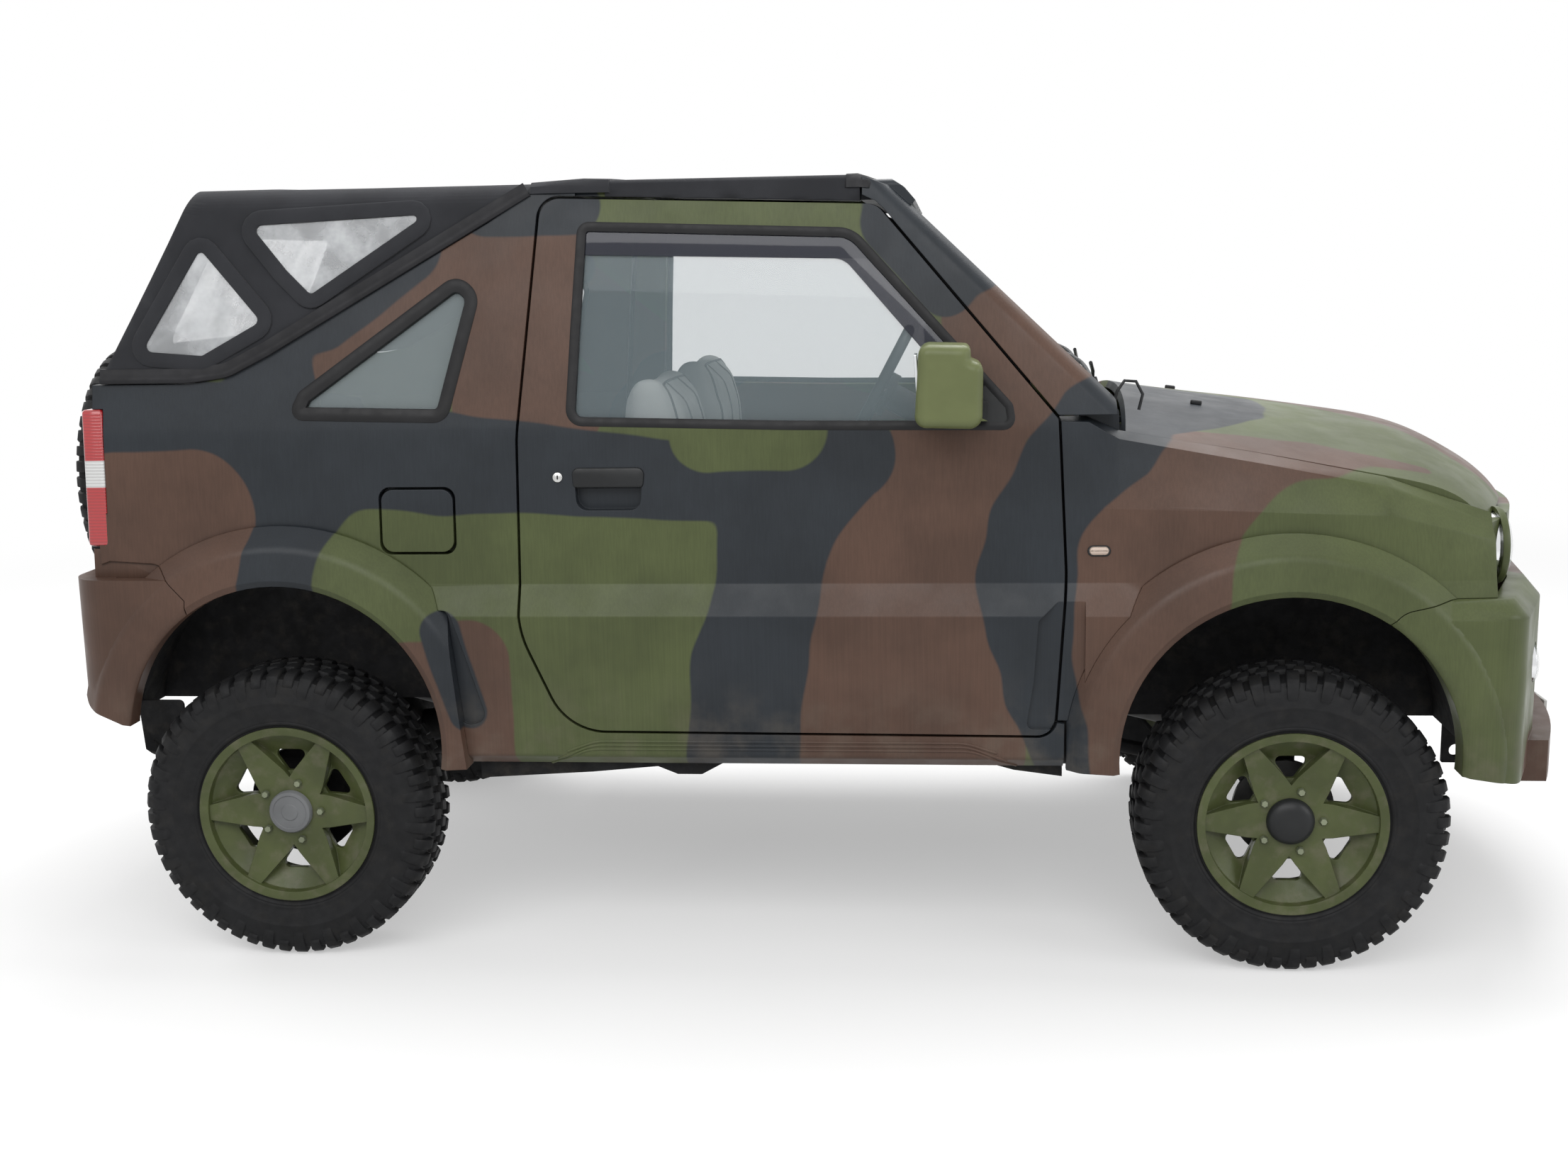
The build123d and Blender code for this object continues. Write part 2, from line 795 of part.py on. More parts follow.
# Front bumper: curved in plan, closing the front of each wheel arch.
front_bumper_outside = (
    (2400, -786, 0),
    (bumper_x - 196, -778, 70),
    (bumper_x - 76, -480, 320),
    (bumper_x, 0, 1500),
    (bumper_x - 76, 480, 320),
    (bumper_x - 196, 778, 70),
    (2400, 786, 0),
)
front_bumper_inside = (
    (2400, 735, 0),
    (bumper_x - 252, 725, 60),
    (bumper_x - 142, 450, 300),
    (bumper_x - 72, 0, 1300),
    (bumper_x - 142, -450, 300),
    (bumper_x - 252, -725, 60),
    (2400, -735, 0),
)
fog_lamp_y, fog_lamp_z, fog_lamp_radius = 560, 655, 46
with BuildPart() as front_bumper:
    add(plan_prism(front_bumper_outside + front_bumper_inside, (380, 860)))
    add(shouldered(front_bumper_outside, (380, 792), seam_z + 8, 40), mode=Mode.INTERSECT)
    add(side_prism(front_bumper_side, (-far, far)), mode=Mode.INTERSECT)
    block((bumper_x - 212, front_reach), (-320, 320), (580, 690), Mode.SUBTRACT)
    for y in (-fog_lamp_y, fog_lamp_y):
        with Locations(Location((rear_axle_x + bumper_x - 52, y, fog_lamp_z), (0, 90, 0))):
            Cylinder(fog_lamp_radius, 180, mode=Mode.SUBTRACT)
    add(bumper_lip(front_arch, front_bumper_side))
    add(arch_hole(front_arch, arch_lip_radius, (-far, far)), mode=Mode.SUBTRACT)
    add(nose_band(front_reach, 80, 600, 118, (392, 486)))
    add(frame_rails.part, mode=Mode.SUBTRACT)

# Rear bumper: low in the middle, with corners that rise to the lamps.
rear_bumper_outside = (
    (-190, -784, 0),
    (-474, -778, 96),
    (-498, 0, 1800),
    (-474, 778, 96),
    (-190, 784, 0),
)
rear_bumper_inside = (
    (-190, 745, 0),
    (-370, 740, 0),
    (-416, 664, 20),
    (-428, 0, 1800),
    (-416, -664, 20),
    (-370, -740, 0),
    (-190, -745, 0),
)
rear_shelf_inside = (
    (-190, 690, 0),
    (-408, 690, 0),
    (-416, 664, 0),
    (-428, 0, 1800),
    (-416, -664, 0),
    (-408, -690, 0),
    (-190, -690, 0),
)
with BuildPart() as rear_bumper:
    add(plan_prism(rear_bumper_outside + rear_bumper_inside, (500, 960)))
    add(plan_prism(rear_bumper_outside + rear_shelf_inside, (896, 960)))
    add(shouldered(rear_bumper_outside, (500, 884), 930, 38), mode=Mode.INTERSECT)
    add(side_prism(rear_bumper_side, (-far, far)), mode=Mode.INTERSECT)
    add(bumper_lip(rear_arch, rear_bumper_side))
    add(arch_hole(rear_arch, arch_lip_radius, (-far, far)), mode=Mode.SUBTRACT)
    block((-520, -400), (-610, 610), (690, 1000), Mode.SUBTRACT)
    add(frame_rails.part, mode=Mode.SUBTRACT)

# Tailgate with the spare wheel's post.
spare_z = 1042
spare_face_x = -rear_reach
gate_face_x = body_rear_x - 6
with BuildPart() as tailgate:
    block((gate_face_x, gate_face_x + 44), (-gate_half_width, gate_half_width), gate_z)
    fillet(tailgate.edges().filter_by(Axis.X), 30)
    fillet(tailgate.faces().sort_by(Axis.X)[0].edges(), 8)
    bar((gate_face_x + 2, 0, spare_z), (spare_face_x + tyre_width / 2 - rim_disc_u, 0, spare_z), 58)
    for z in gate_hinge_heights:
        low_z, high_z = z - gate_knuckle / 2, z + gate_knuckle / 2
        bar((*gate_hinge, low_z), (*gate_hinge, high_z), gate_hinge_radius)
        block(
            (gate_hinge[0] - 4, gate_face_x + 6), (gate_hinge[1], gate_hinge[1] + 40), (low_z, high_z)
        )
with BuildPart() as fuel_flap:
    add(wall((100, 600)))
    add(side_prism(fuel_flap_rows(-panel_gap / 2), (-far, -690)), mode=Mode.INTERSECT)
    block((100, 600), (flap_inner_y, -600), (800, 1200), Mode.SUBTRACT)

# Fabric rear top: a thin shell closed at the back, open to the cabin.
fabric = 8
roof_split_x = 759  # where the rear top meets the front roof
top_rear_low, top_rear_high = (-390, 1320), (-172, 1738)
top_side_rows = (
    (top_rear_low[0], top_rear_low[1], 0),
    (-185, 1319, 100),
    (-92, 1330, 100),
    (2, 1377, 200),
    (496, 1658, 120),
    (605, hoop_edge_z + 3, 0),
    (roof_split_x, hoop_edge_z + 3, 0),
    (roof_split_x, 1840, 0),
    (top_rear_high[0] + 20, 1840, 0),
    (top_rear_high[0], top_rear_high[1], 0),
)
top_window_rows = (
    # rear window and front window of the top's side
    ((-296, 1386, 18), (-150, 1374, 18), (-10, 1450, 16), (-156, 1618, 14)),
    ((-46, 1664, 16), (375, 1682, 12), (98, 1503, 16), (40, 1560, 20)),
)
# The rear window, seen from behind: across, height, corner radius.
top_rear_window_rows = (
    (-440, 1392, 40),
    (440, 1392, 40),
    (405, 1646, 40),
    (-405, 1646, 40),
)


def rear_window_prism(gap):
    with BuildPart() as prism:
        with BuildSketch(station(-440)):
            with BuildLine():
                outline(top_rear_window_rows)
            make_face()
            offset(amount=gap)
        extrude(amount=260)
    return prism.part


def rear_sheet(inset, thickness):
    # A layer of the rear wall, inset from the fabric's outer face.
    lean = atan2(top_rear_high[0] - top_rear_low[0], top_rear_high[1] - top_rear_low[1])
    rows = [
        (x + depth * cos(lean), z - depth * sin(lean), 0)
        for depth, ends in ((inset, (0, 1)), (inset + thickness, (1, 0)))
        for x, z in [(top_rear_low, top_rear_high)[end] for end in ends]
    ]
    return side_prism(rows, (-520, 520))


def top_section_rows(inset):
    # The rear top's cross-section, a rounded arch over the cabin.
    low, high, crown = 708 - inset, 626 - inset, 1768 - inset
    return (
        (-low, 1290, 0),
        (-high, 1738 - inset, 60),
        (0, crown, 3000),
        (high, 1738 - inset, 60),
        (low, 1290, 0),
    )


with BuildPart() as soft_top:
    with BuildSketch(station(-420)):
        with BuildLine():
            outline(top_section_rows(0))
        make_face()
    extrude(amount=1240)
    add(side_prism(top_side_rows, (-far, far)), mode=Mode.INTERSECT)
    with BuildPart(mode=Mode.SUBTRACT):
        with BuildSketch(station(-420)):
            with BuildLine():
                outline(top_section_rows(fabric))
            make_face()
        extrude(amount=1300)
        add(side_prism([
            (top_rear_low[0] + fabric - 20, 1280, 0), (900, 1280, 0), (900, 1900, 0),
            (top_rear_high[0] + fabric + 80, 1900, 0), (top_rear_high[0] + fabric, top_rear_high[1], 0),
        ], (-far, far)), mode=Mode.INTERSECT)
    for rows in top_window_rows:
        add(side_prism(rows, (-far, far)), mode=Mode.SUBTRACT)
    add(rear_window_prism(0), mode=Mode.SUBTRACT)

# Fabric front roof between the hoop and the windscreen header, folded over the rails.
with BuildPart() as roof_fabric:
    with BuildSketch(station(roof_split_x + 1)):
        with BuildLine():
            outline([
                (-632, 1680, 0), (-623, 1743, 14), (0, 1763, 3000), (623, 1743, 14),
                (632, 1680, 0), (632 - fabric, 1680, 0), (623 - fabric, 1743 - fabric, 8),
                (0, 1763 - fabric, 3000), (fabric - 623, 1743 - fabric, 8), (fabric - 632, 1680, 0),
            ])
        make_face()
    extrude(amount=1317 - roof_split_x - 1)
    add(grown(door_edge, panel_gap, (-far, far)), mode=Mode.SUBTRACT)

# Clear panes of the rear top, and its rear window.
pane_inset = 3
with BuildPart() as top_windows:
    with BuildPart(mode=Mode.PRIVATE) as pane_layer:
        with BuildSketch(station(-420)):
            with BuildLine():
                outline(top_section_rows(pane_inset))
            make_face()
            with BuildLine():
                outline(top_section_rows(pane_inset + 2))
            make_face(mode=Mode.SUBTRACT)
        extrude(amount=1000)
    for rows in top_window_rows:
        add(pane_layer.part & grown(rows, -0.5, (-far, far)))
    add(rear_sheet(pane_inset, 2) & rear_window_prism(-0.5))

# Floor with the firewall and the raised load floor, in one folded sheet.
floor_half_width = 664
load_floor_z = 770
with BuildPart() as floor_pan:
    with BuildSketch(side(floor_half_width)):
        with BuildLine():
            Polyline(
                (1778, 1100), (1760, 1100), (1760, 810), (1632, floor_top_z), (520, floor_top_z),
                (430, load_floor_z), (body_rear_x + 44, load_floor_z),
                (body_rear_x + 44, load_floor_z - skin), (418, load_floor_z - skin),
                (508, floor_top_z - skin), (1642, floor_top_z - skin), (1778, 800), close=True,
            )
        make_face()
    extrude(amount=2 * floor_half_width)
    add(arch_hole(rear_arch, liner_radius, (-far, -540)), mode=Mode.SUBTRACT)
    add(arch_hole(rear_arch, liner_radius, (540, far)), mode=Mode.SUBTRACT)

# Underseal-black flanges that hang below the sills.
sill_flange_rows = (
    (
        (440, sill_z - seat_gap), (440, 410), (700, 426), (850, 440), (895, 422), (950, 422),
        (1010, sill_z - seat_gap),
    ),
    ((1590, sill_z - seat_gap), (1650, 438), (wing_rear_x, 424), (wing_rear_x, sill_z - seat_gap)),
)
with BuildPart() as sill_flanges:
    for rows in sill_flange_rows:
        add(side_prism([(x, z, 0) for x, z in rows], (-700, -686)))
    mirror(about=Plane.XZ)

# Wheel arch liners: an inner plate and a curved shell over each wheel.
liner_rows = (
    # arch centre, inner plate y, shell's outer y, lowest point
    (rear_arch, 540, 668, 560),
    (front_arch, 436, 727, 500),
)
liner_thickness = 6
with BuildPart() as arch_liners:
    for centre, plate_y, outer_y, low_z in liner_rows:
        with BuildSketch(side(-plate_y)):
            with Locations(centre):
                Circle(liner_radius - 2)
                Circle(liner_radius - 2 - liner_thickness, mode=Mode.SUBTRACT)
        extrude(amount=outer_y - plate_y)
        with BuildSketch(side(-plate_y)):
            with Locations(centre):
                Circle(liner_radius - 2)
        extrude(amount=liner_thickness)
        block((centre[0] - 500, centre[0] + 500), (-far, 0), (0, low_z), Mode.SUBTRACT)
    mirror(about=Plane.XZ)
    add(front_wings.part, mode=Mode.SUBTRACT)
    add(front_bumper.part, mode=Mode.SUBTRACT)

# Crossmembers between the rails.
with BuildPart() as crossmembers:
    for x, z in ((-338, 648), (250, 620), (640, 560), (1330, 550), (2700, 612)):
        block((x - 25, x + 25), (-rail_half_gap, rail_half_gap), (z - 30, z + 30))

# Tow eyes under the right rail, for a shackle pin.
tow_eye_radius = 15
tow_eye_plate = 16
tow_eyes = (
    # x, hole height, top
    (2700, 396, 620),
    (-338, 500, 650),
)
with BuildPart() as tow_eye_plates:
    for x, z, top in tow_eyes:
        low_y = -356 - tow_eye_plate / 2
        block((x - 30, x + 30), (low_y, low_y + tow_eye_plate), (z - 30, top))
        with Locations(Location((rear_axle_x + x, -356, z), (90, 0, 0))):
            Cylinder(tow_eye_radius, 2 * tow_eye_plate, mode=Mode.SUBTRACT)
    add(frame_rails.part, mode=Mode.SUBTRACT)

# Power unit: engine block, gearbox and transfer case, each as one plain block.
with BuildPart() as power_unit:
    block((1960, 2430), (-190, 190), (480, 1030))
    block((1400, 1960), (-120, 120), (430, 596))
    block((1360, 1560), (-60, 200), (400, 560))

# Axles and drive shafts.
axle_tube_radius = 36
front_axle_x = wheelbase


def axle(x, differential_y, reach, drop):
    with BuildPart() as beam:
        bar((x, -reach, axle_height), (x, reach, axle_height), axle_tube_radius)
        with Locations((rear_axle_x + x, differential_y, axle_height)):
            Sphere(112)
        bar((x, differential_y, axle_height), (x + drop, differential_y, axle_height + 14), 44)
    return beam.part


with BuildPart() as rear_axle:
    add(axle(0, 0, 600, 170))
    for start in (-646, 600):
        bar((0, start, axle_height), (0, start + 46, axle_height), 128)
    bar((0, -716, axle_height), (0, 716, axle_height), stub_radius)
ear_gap = 84
kingpin_radius = 14
kingpin_play = 0.4


def kingpin_plane(y):
    # The right kingpin's own plane, or the left one's where y is positive.
    lean = Vector(
        -sin(radians(kingpin_caster)),
        sin(radians(kingpin_lean)) * (1 if y < 0 else -1),
        cos(radians(kingpin_lean)),
    )
    return Plane(origin=(rear_axle_x + front_axle_x, y, axle_height), z_dir=lean)


with BuildPart() as front_axle:
    add(axle(front_axle_x, 130, 545, -170))
    for low_y in (-548, 523):
        block(
            (front_axle_x - 42, front_axle_x + 42), (low_y, low_y + 25),
            (axle_height - ear_gap - 26, axle_height + ear_gap + 26),
        )
    for low_y in (-626, 548):
        for low_z in (axle_height - ear_gap - 26, axle_height + ear_gap):
            block(
                (front_axle_x - 26, front_axle_x + 26), (low_y, low_y + 78), (low_z, low_z + 26)
            )
    for y in (-kingpin_y, kingpin_y):
        with Locations(kingpin_plane(y).location):
            Cylinder(kingpin_radius + kingpin_play, 2 * (ear_gap + 20), mode=Mode.SUBTRACT)
with BuildPart() as propshafts:
    bar((160, 0, axle_height + 14), (1366, 0, 480), 30)
    bar((2090, 130, axle_height + 14), (1552, 130, 480), 26)
    for neighbour in (rear_axle, front_axle, power_unit):
        add(neighbour.part, mode=Mode.SUBTRACT)

# Steering knuckles, turning on a leaning kingpin, with hub and brake disc.
with BuildPart() as knuckle_right:
    with Locations(kingpin_plane(-kingpin_y).location):
        Cylinder(34, 140)
        Cylinder(kingpin_radius, 2 * (ear_gap + 18))
    bar((front_axle_x, -kingpin_y, axle_height), (front_axle_x, -650, axle_height), 52)
    bar((front_axle_x, -640, axle_height), (front_axle_x, -652, axle_height), 112)
    bar((front_axle_x, -640, axle_height), (front_axle_x, -716, axle_height), stub_radius)
with BuildPart() as knuckle_left:
    mirror(knuckle_right.part, about=Plane.XZ)

# Springs, dampers and links between the axles and the frame.
spring_radius = 44
spring_y = 350
with BuildPart() as springs:
    for x, top_z in ((0, 648), (front_axle_x, 598)):
        for y in (-spring_y, spring_y):
            bar((x, y, axle_height), (x, y, top_z), spring_radius)
    add(rear_axle.part, mode=Mode.SUBTRACT)
    add(front_axle.part, mode=Mode.SUBTRACT)
link_radius = 17
link_y = 366
link_end_z = 448
with BuildPart() as suspension_links:
    for axle_x, end_x, beam in ((0, 520, rear_axle), (front_axle_x, 1700, front_axle)):
        for y in (-link_y, link_y):
            bar((axle_x, y, axle_height), (end_x, y, link_end_z), link_radius)
            block((end_x - 22, end_x + 22), (y - 12, y + 12), (link_end_z - 10, 520 - rail_height / 2))
        add(beam.part, mode=Mode.SUBTRACT)
    add(springs.part, mode=Mode.SUBTRACT)

# Exhaust pipe with its silencer, and the fuel tank.
with BuildPart() as exhaust:
    bar((1940, -250, 560), (1750, -250, 450), 24)
    bar((1750, -250, 450), (860, -250, 440), 24)
    bar((860, -250, 440), (420, -250, 440), 70)
    bar((420, -250, 440), (120, -250, 520), 24)
    bar((120, -250, 520), (-440, -250, 520), 24)
    for x, z in ((1750, 450), (120, 520)):
        with Locations((rear_axle_x + x, -250, z)):
            Sphere(24)
    for x, z, top in ((250, 500, 590), (640, 450, 530), (1330, 430, 520)):
        block((x - 12, x + 12), (-258, -242), (z, top))
with BuildPart() as fuel_tank:
    block((330, 900), (70, 310), (390, 530))
    fillet(fuel_tank.edges().filter_by(Axis.Y), 40)

# Seats, dashboard and steering.
seat_width = 480
seat_rows = (
    # cushion, then the back up to its head
    (860, 660, 0),
    (1330, 660, 0),
    (1370, 820, 60),
    (1290, 875, 60),
    (960, 830, 60),
    (900, 1180, 200),
    (850, 1345, 45),
    (770, 1345, 45),
    (760, 1180, 200),
    (830, 700, 40),
)
with BuildPart() as seats:
    for y in (120, -600):
        add(side_prism(seat_rows, (y, y + seat_width)))
        for rail_y in (y + 50, y + seat_width - 90):
            block((880, 1320), (rail_y, rail_y + 40), (floor_top_z + seat_gap, 670))
    block((60, 425), (-520, 520), (load_floor_z + seat_gap, 900))
wheel_x, wheel_y, wheel_z = 1316, 370, 1209
column_lean = 28
steering_wheel_radius = 182
boss_middle, boss_height = 18, 44
column_axis = Vector(cos(radians(column_lean)), 0, -sin(radians(column_lean)))
column_plane = Plane(
    origin=(rear_axle_x + wheel_x, wheel_y, wheel_z), x_dir=(0, 1, 0), z_dir=column_axis
)
firewall_x = 1760
dash_front_x = firewall_x - seat_gap
with BuildPart() as dashboard:
    with BuildSketch(side(640)):
        with BuildLine():
            outline([
                (dash_front_x, 1176, 0), (1500, 1190, 60), (1440, 1120, 60), (1480, 960, 60),
                (1640, 900, 60), (dash_front_x, 900, 0),
            ])
        make_face()
    extrude(amount=2 * 640)
    with BuildSketch(column_plane.offset(boss_middle + boss_height / 2 + seat_gap)):
        Circle(38)
    extrude(amount=150)
with BuildPart() as steering_wheel:
    with Locations(column_plane.location):
        Torus(steering_wheel_radius, 15)
    with Locations(column_plane.offset(boss_middle).location):
        Cylinder(62, boss_height)
    for angle in (0, 180, 270):
        with BuildSketch(column_plane.offset(6)):
            with Locations(Location((0, 0, 0), (0, 0, angle))):
                with Locations((steering_wheel_radius / 2 + 8, 0)):
                    Rectangle(steering_wheel_radius - 10, 34)
        extrude(amount=14)

# Door mirrors.
mirror_rows = (
    (1436, 1218, 24),
    (1576, 1214, 28),
    (1578, 1346, 22),
    (1553, 1357, 8),
    (1552, 1386, 14),
    (1446, 1390, 24),
)
mirror_sail_rows = (
    (1556, 1209, 0),
    (1643, 1207, 12),
    (1636, 1249, 10),
    (1592, 1301, 10),
    (1556, 1260, 0),
)
with BuildPart() as mirror_right:
    add(side_prism(mirror_rows, (-892, -762)))
    fillet(mirror_right.faces().sort_by(Axis.Y)[0].edges(), 22)
    block((1528, 1590), (-775, -690), (1222, 1262))
    add(wall((1400, 1700)), mode=Mode.SUBTRACT)
    with BuildPart(mode=Mode.PRIVATE) as sail:
        add(wall_layer((1400, 1700), 0, glass_inset))
        add(side_prism(mirror_sail_rows, right_half), mode=Mode.INTERSECT)
        add(grown(door_window, -0.5, right_half), mode=Mode.INTERSECT)
    add(sail.part)
with BuildPart() as mirror_left:
    mirror(mirror_right.part, about=Plane.XZ)

# Wheels: u counts outward from the tyre's middle plane.
tyre_rows = (
    # u, radius, corner radius
    (66, 193.5, 0),
    (79.5, 193.5, 0),
    (80, 208, 4),
    (97, 236, 22),
    (tyre_width / 2, 286, 30),
    (88, 324, 16),
    (70, tyre_radius, 6),
    (-70, tyre_radius, 6),
    (-88, 324, 16),
    (-tyre_width / 2, 286, 30),
    (-97, 236, 22),
    (-80, 208, 4),
    (-79.5, 193.5, 0),
    (-66, 193.5, 0),
    (-66, 206, 0),
    (-84, 240, 18),
    (-87, 284, 22),
    (-72, 316, 16),
    (72, 316, 16),
    (87, 284, 22),
    (84, 240, 18),
    (66, 206, 0),
)
rim_rows = (
    (88, rim_lip_radius, 0),
    (81, rim_lip_radius, 0),
    (80, 193, 0),
    (50, 190, 0),
    (34, 174, 0),
    (-40, 174, 0),
    (-56, 190, 0),
    (-80, 193, 0),
    (-81, rim_lip_radius, 0),
    (-88, rim_lip_radius, 0),
    (-84, 186, 0),
    (-60, 184, 0),
    (-43, 167, 0),
    (30, 167, 0),
    (46, 184, 0),
    (84, 186, 0),
)
rim_disc_rows = (
    (rim_disc_u, hub_radius, 0),
    (rim_disc_u, stub_radius + 1, 0),
    (66, stub_radius + 1, 0),
    (66, 44, 4),
    (44, 50, 0),
    (40, 80, 0),
    (34, 140, 20),
    (66, 187, 0),
    (50, 187, 0),
    (22, 142, 20),
    (26, 80, 0),
)
# The spokes' cross-section along a radius: they fill it from the disc to their faces.
spoke_rows = (
    (34, 30, 0),
    (56, 30, 0),
    (56, 90, 60),
    (76, 188, 0),
    (52, 188, 0),
    (26, 142, 0),
    (30, 80, 0),
)
spoke_half_root, spoke_half_tip = 44, 17
rim_window_rows = (
    # along the radius, across, corner radius
    (92, -8, 5),
    (92, 8, 5),
    (142, 44, 12),
    (142, -44, 12),
)


def turned(rows, x, y):
    # A profile turned about a wheel's axle; its first column counts outward on the right.
    middle = (rear_axle_x + x, y, axle_height)
    with BuildPart() as piece:
        with BuildSketch(Plane(origin=middle, x_dir=(0, -1, 0), z_dir=(1, 0, 0))):
            with BuildLine():
                outline(rows)
            make_face()
        revolve(axis=Axis(middle, (0, 1, 0)))
    return piece.part


with BuildSketch() as rim_window:
    with BuildLine():
        outline(rim_window_rows)
    make_face()
with BuildSketch() as spoke:
    with BuildLine():
        outline([
            (30, -spoke_half_root, 0), (92, -spoke_half_root + 6, 0), (190, -spoke_half_tip, 0),
            (190, spoke_half_tip, 0), (92, spoke_half_root - 6, 0), (30, spoke_half_root, 0),
        ])
    make_face()


def rim(x):
    # The right-hand rim of the axle at x.
    face = Plane(
        origin=(rear_axle_x + x, -wheel_middle_y, axle_height), x_dir=(1, 0, 0), z_dir=(0, -1, 0)
    )
    with BuildPart() as disc:
        add(turned(rim_disc_rows, x, -wheel_middle_y))
        with BuildSketch(face):
            with PolarLocations(0, spoke_count, start_angle=180 / spoke_count):
                add(rim_window.sketch)
        extrude(amount=80, mode=Mode.SUBTRACT)
    with BuildPart() as spokes:
        with BuildSketch(face):
            with PolarLocations(0, spoke_count):
                add(spoke.sketch)
        extrude(amount=90)
        add(turned(spoke_rows, x, -wheel_middle_y), mode=Mode.INTERSECT)
    with BuildPart() as piece:
        add(turned(rim_rows, x, -wheel_middle_y))
        add(disc.part)
        add(spokes.part)
    return piece.part


with BuildPart() as tyre_rear_right:
    add(turned(tyre_rows, 0, -wheel_middle_y))
with BuildPart() as rim_rear_right:
    add(rim(0))
with BuildPart() as tyre_front_right:
    add(turned(tyre_rows, front_axle_x, -wheel_middle_y))
with BuildPart() as rim_front_right:
    add(rim(front_axle_x))
with BuildPart() as tyre_rear_left:
    mirror(tyre_rear_right.part, about=Plane.XZ)
with BuildPart() as rim_rear_left:
    mirror(rim_rear_right.part, about=Plane.XZ)
with BuildPart() as tyre_front_left:
    mirror(tyre_front_right.part, about=Plane.XZ)
with BuildPart() as rim_front_left:
    mirror(rim_front_right.part, about=Plane.XZ)

# Spare wheel on the tailgate: the rear wheel turned to face rearward.
spare_move = (
    Location((rear_axle_x + spare_face_x + tyre_width / 2, 0, spare_z))
    * Location((0, 0, 0), (0, 0, -90))
    * Location((-rear_axle_x, wheel_middle_y, -axle_height))
)
with BuildPart() as spare_tyre:
    add(tyre_rear_right.part.moved(spare_move))
with BuildPart() as spare_rim:
    add(rim_rear_right.part.moved(spare_move))


# One file for each node. Like pieces that never part company share one.
nodes = {
    "body_side_right": (body_side_right,),
    "body_side_left": (body_side_left,),
    "body_frames": (rear_frame, roof_frame),
    "windscreen_frame": (windscreen_frame, glass_seats, bonnet_brackets),
    "body_glass": (body_glass,),
    "floor_pan": (floor_pan, sill_flanges),
    "arch_liners": (arch_liners,),
    "front_wings": (front_wings,),
    "arch_flares": (arch_flares,),
    "front_panel": (front_panel,),
    "lamps": (lamps,),
    "front_bumper": (front_bumper,),
    "rear_bumper": (rear_bumper,),
    "soft_top": (soft_top, roof_fabric),
    "top_windows": (top_windows,),
    "ladder_frame": (frame_rails, crossmembers, tow_eye_plates),
    "driveline": (power_unit, propshafts),
    "axles": (rear_axle, front_axle),
    "suspension": (springs, suspension_links),
    "exhaust": (exhaust,),
    "fuel_tank": (fuel_tank,),
    "seats": (seats,),
    "dashboard": (dashboard,),
    "bonnet": (bonnet,),
    "door_right": (door_right,),
    "door_glass_right": (door_glass_right,),
    "mirror_right": (mirror_right,),
    "door_left": (door_left,),
    "door_glass_left": (door_glass_left,),
    "mirror_left": (mirror_left,),
    "tailgate": (tailgate,),
    "spare_tyre": (spare_tyre,),
    "spare_rim": (spare_rim,),
    "fuel_flap": (fuel_flap,),
    "steering_wheel": (steering_wheel,),
    "knuckle_right": (knuckle_right,),
    "knuckle_left": (knuckle_left,),
    "tyre_rear_right": (tyre_rear_right,),
    "rim_rear_right": (rim_rear_right,),
    "tyre_rear_left": (tyre_rear_left,),
    "rim_rear_left": (rim_rear_left,),
    "tyre_front_right": (tyre_front_right,),
    "rim_front_right": (rim_front_right,),
    "tyre_front_left": (tyre_front_left,),
    "rim_front_left": (rim_front_left,),
}
for name, pieces in nodes.items():
    solids = [solid for piece in pieces for solid in piece.part.solids()]
    node = solids[0] if len(solids) == 1 else Compound(children=solids)
    node.label = name
    export_step(node, f"parts/{name}.step")
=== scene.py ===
# Looks of the army 4x4 car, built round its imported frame.
# Metres in the frame's own axes: +X forward, +Y the car's left, +Z up.
import json
import math

import bmesh
import bpy
from mathutils import Matrix, Vector, noise
from mathutils.bvhtree import BVHTree

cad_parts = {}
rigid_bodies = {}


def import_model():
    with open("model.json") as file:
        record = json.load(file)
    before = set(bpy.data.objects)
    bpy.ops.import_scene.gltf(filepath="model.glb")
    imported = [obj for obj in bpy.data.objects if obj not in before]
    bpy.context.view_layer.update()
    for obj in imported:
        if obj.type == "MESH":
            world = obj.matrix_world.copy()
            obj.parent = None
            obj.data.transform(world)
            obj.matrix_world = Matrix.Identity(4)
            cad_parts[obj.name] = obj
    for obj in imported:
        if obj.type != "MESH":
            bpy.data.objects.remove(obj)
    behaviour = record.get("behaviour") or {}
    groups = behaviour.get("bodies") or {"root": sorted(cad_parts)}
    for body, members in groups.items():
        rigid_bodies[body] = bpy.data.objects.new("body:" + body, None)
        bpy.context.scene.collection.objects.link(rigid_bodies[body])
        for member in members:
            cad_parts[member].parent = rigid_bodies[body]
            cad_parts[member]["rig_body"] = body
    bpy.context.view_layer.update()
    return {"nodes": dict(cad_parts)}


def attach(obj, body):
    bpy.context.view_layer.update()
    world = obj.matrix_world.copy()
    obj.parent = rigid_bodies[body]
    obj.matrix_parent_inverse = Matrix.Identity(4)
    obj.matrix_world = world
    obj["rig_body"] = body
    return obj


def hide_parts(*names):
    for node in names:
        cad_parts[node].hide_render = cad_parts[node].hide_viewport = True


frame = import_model()
rearAxleX = -1.1425  # the rear axle's place in the frame
wheelbase = 2.25
nodeBody = {name: obj["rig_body"] for name, obj in frame["nodes"].items()}
print("frame loaded:", len(nodeBody), "nodes")


# Shader helpers
def put(tree, kind, inputs=None, **settings):
    made = tree.nodes.new(kind)
    for key, value in settings.items():
        setattr(made, key, value)
    for key, value in (inputs or {}).items():
        if isinstance(value, bpy.types.NodeSocket):
            tree.links.new(value, made.inputs[key])
        else:
            made.inputs[key].default_value = value
    return made


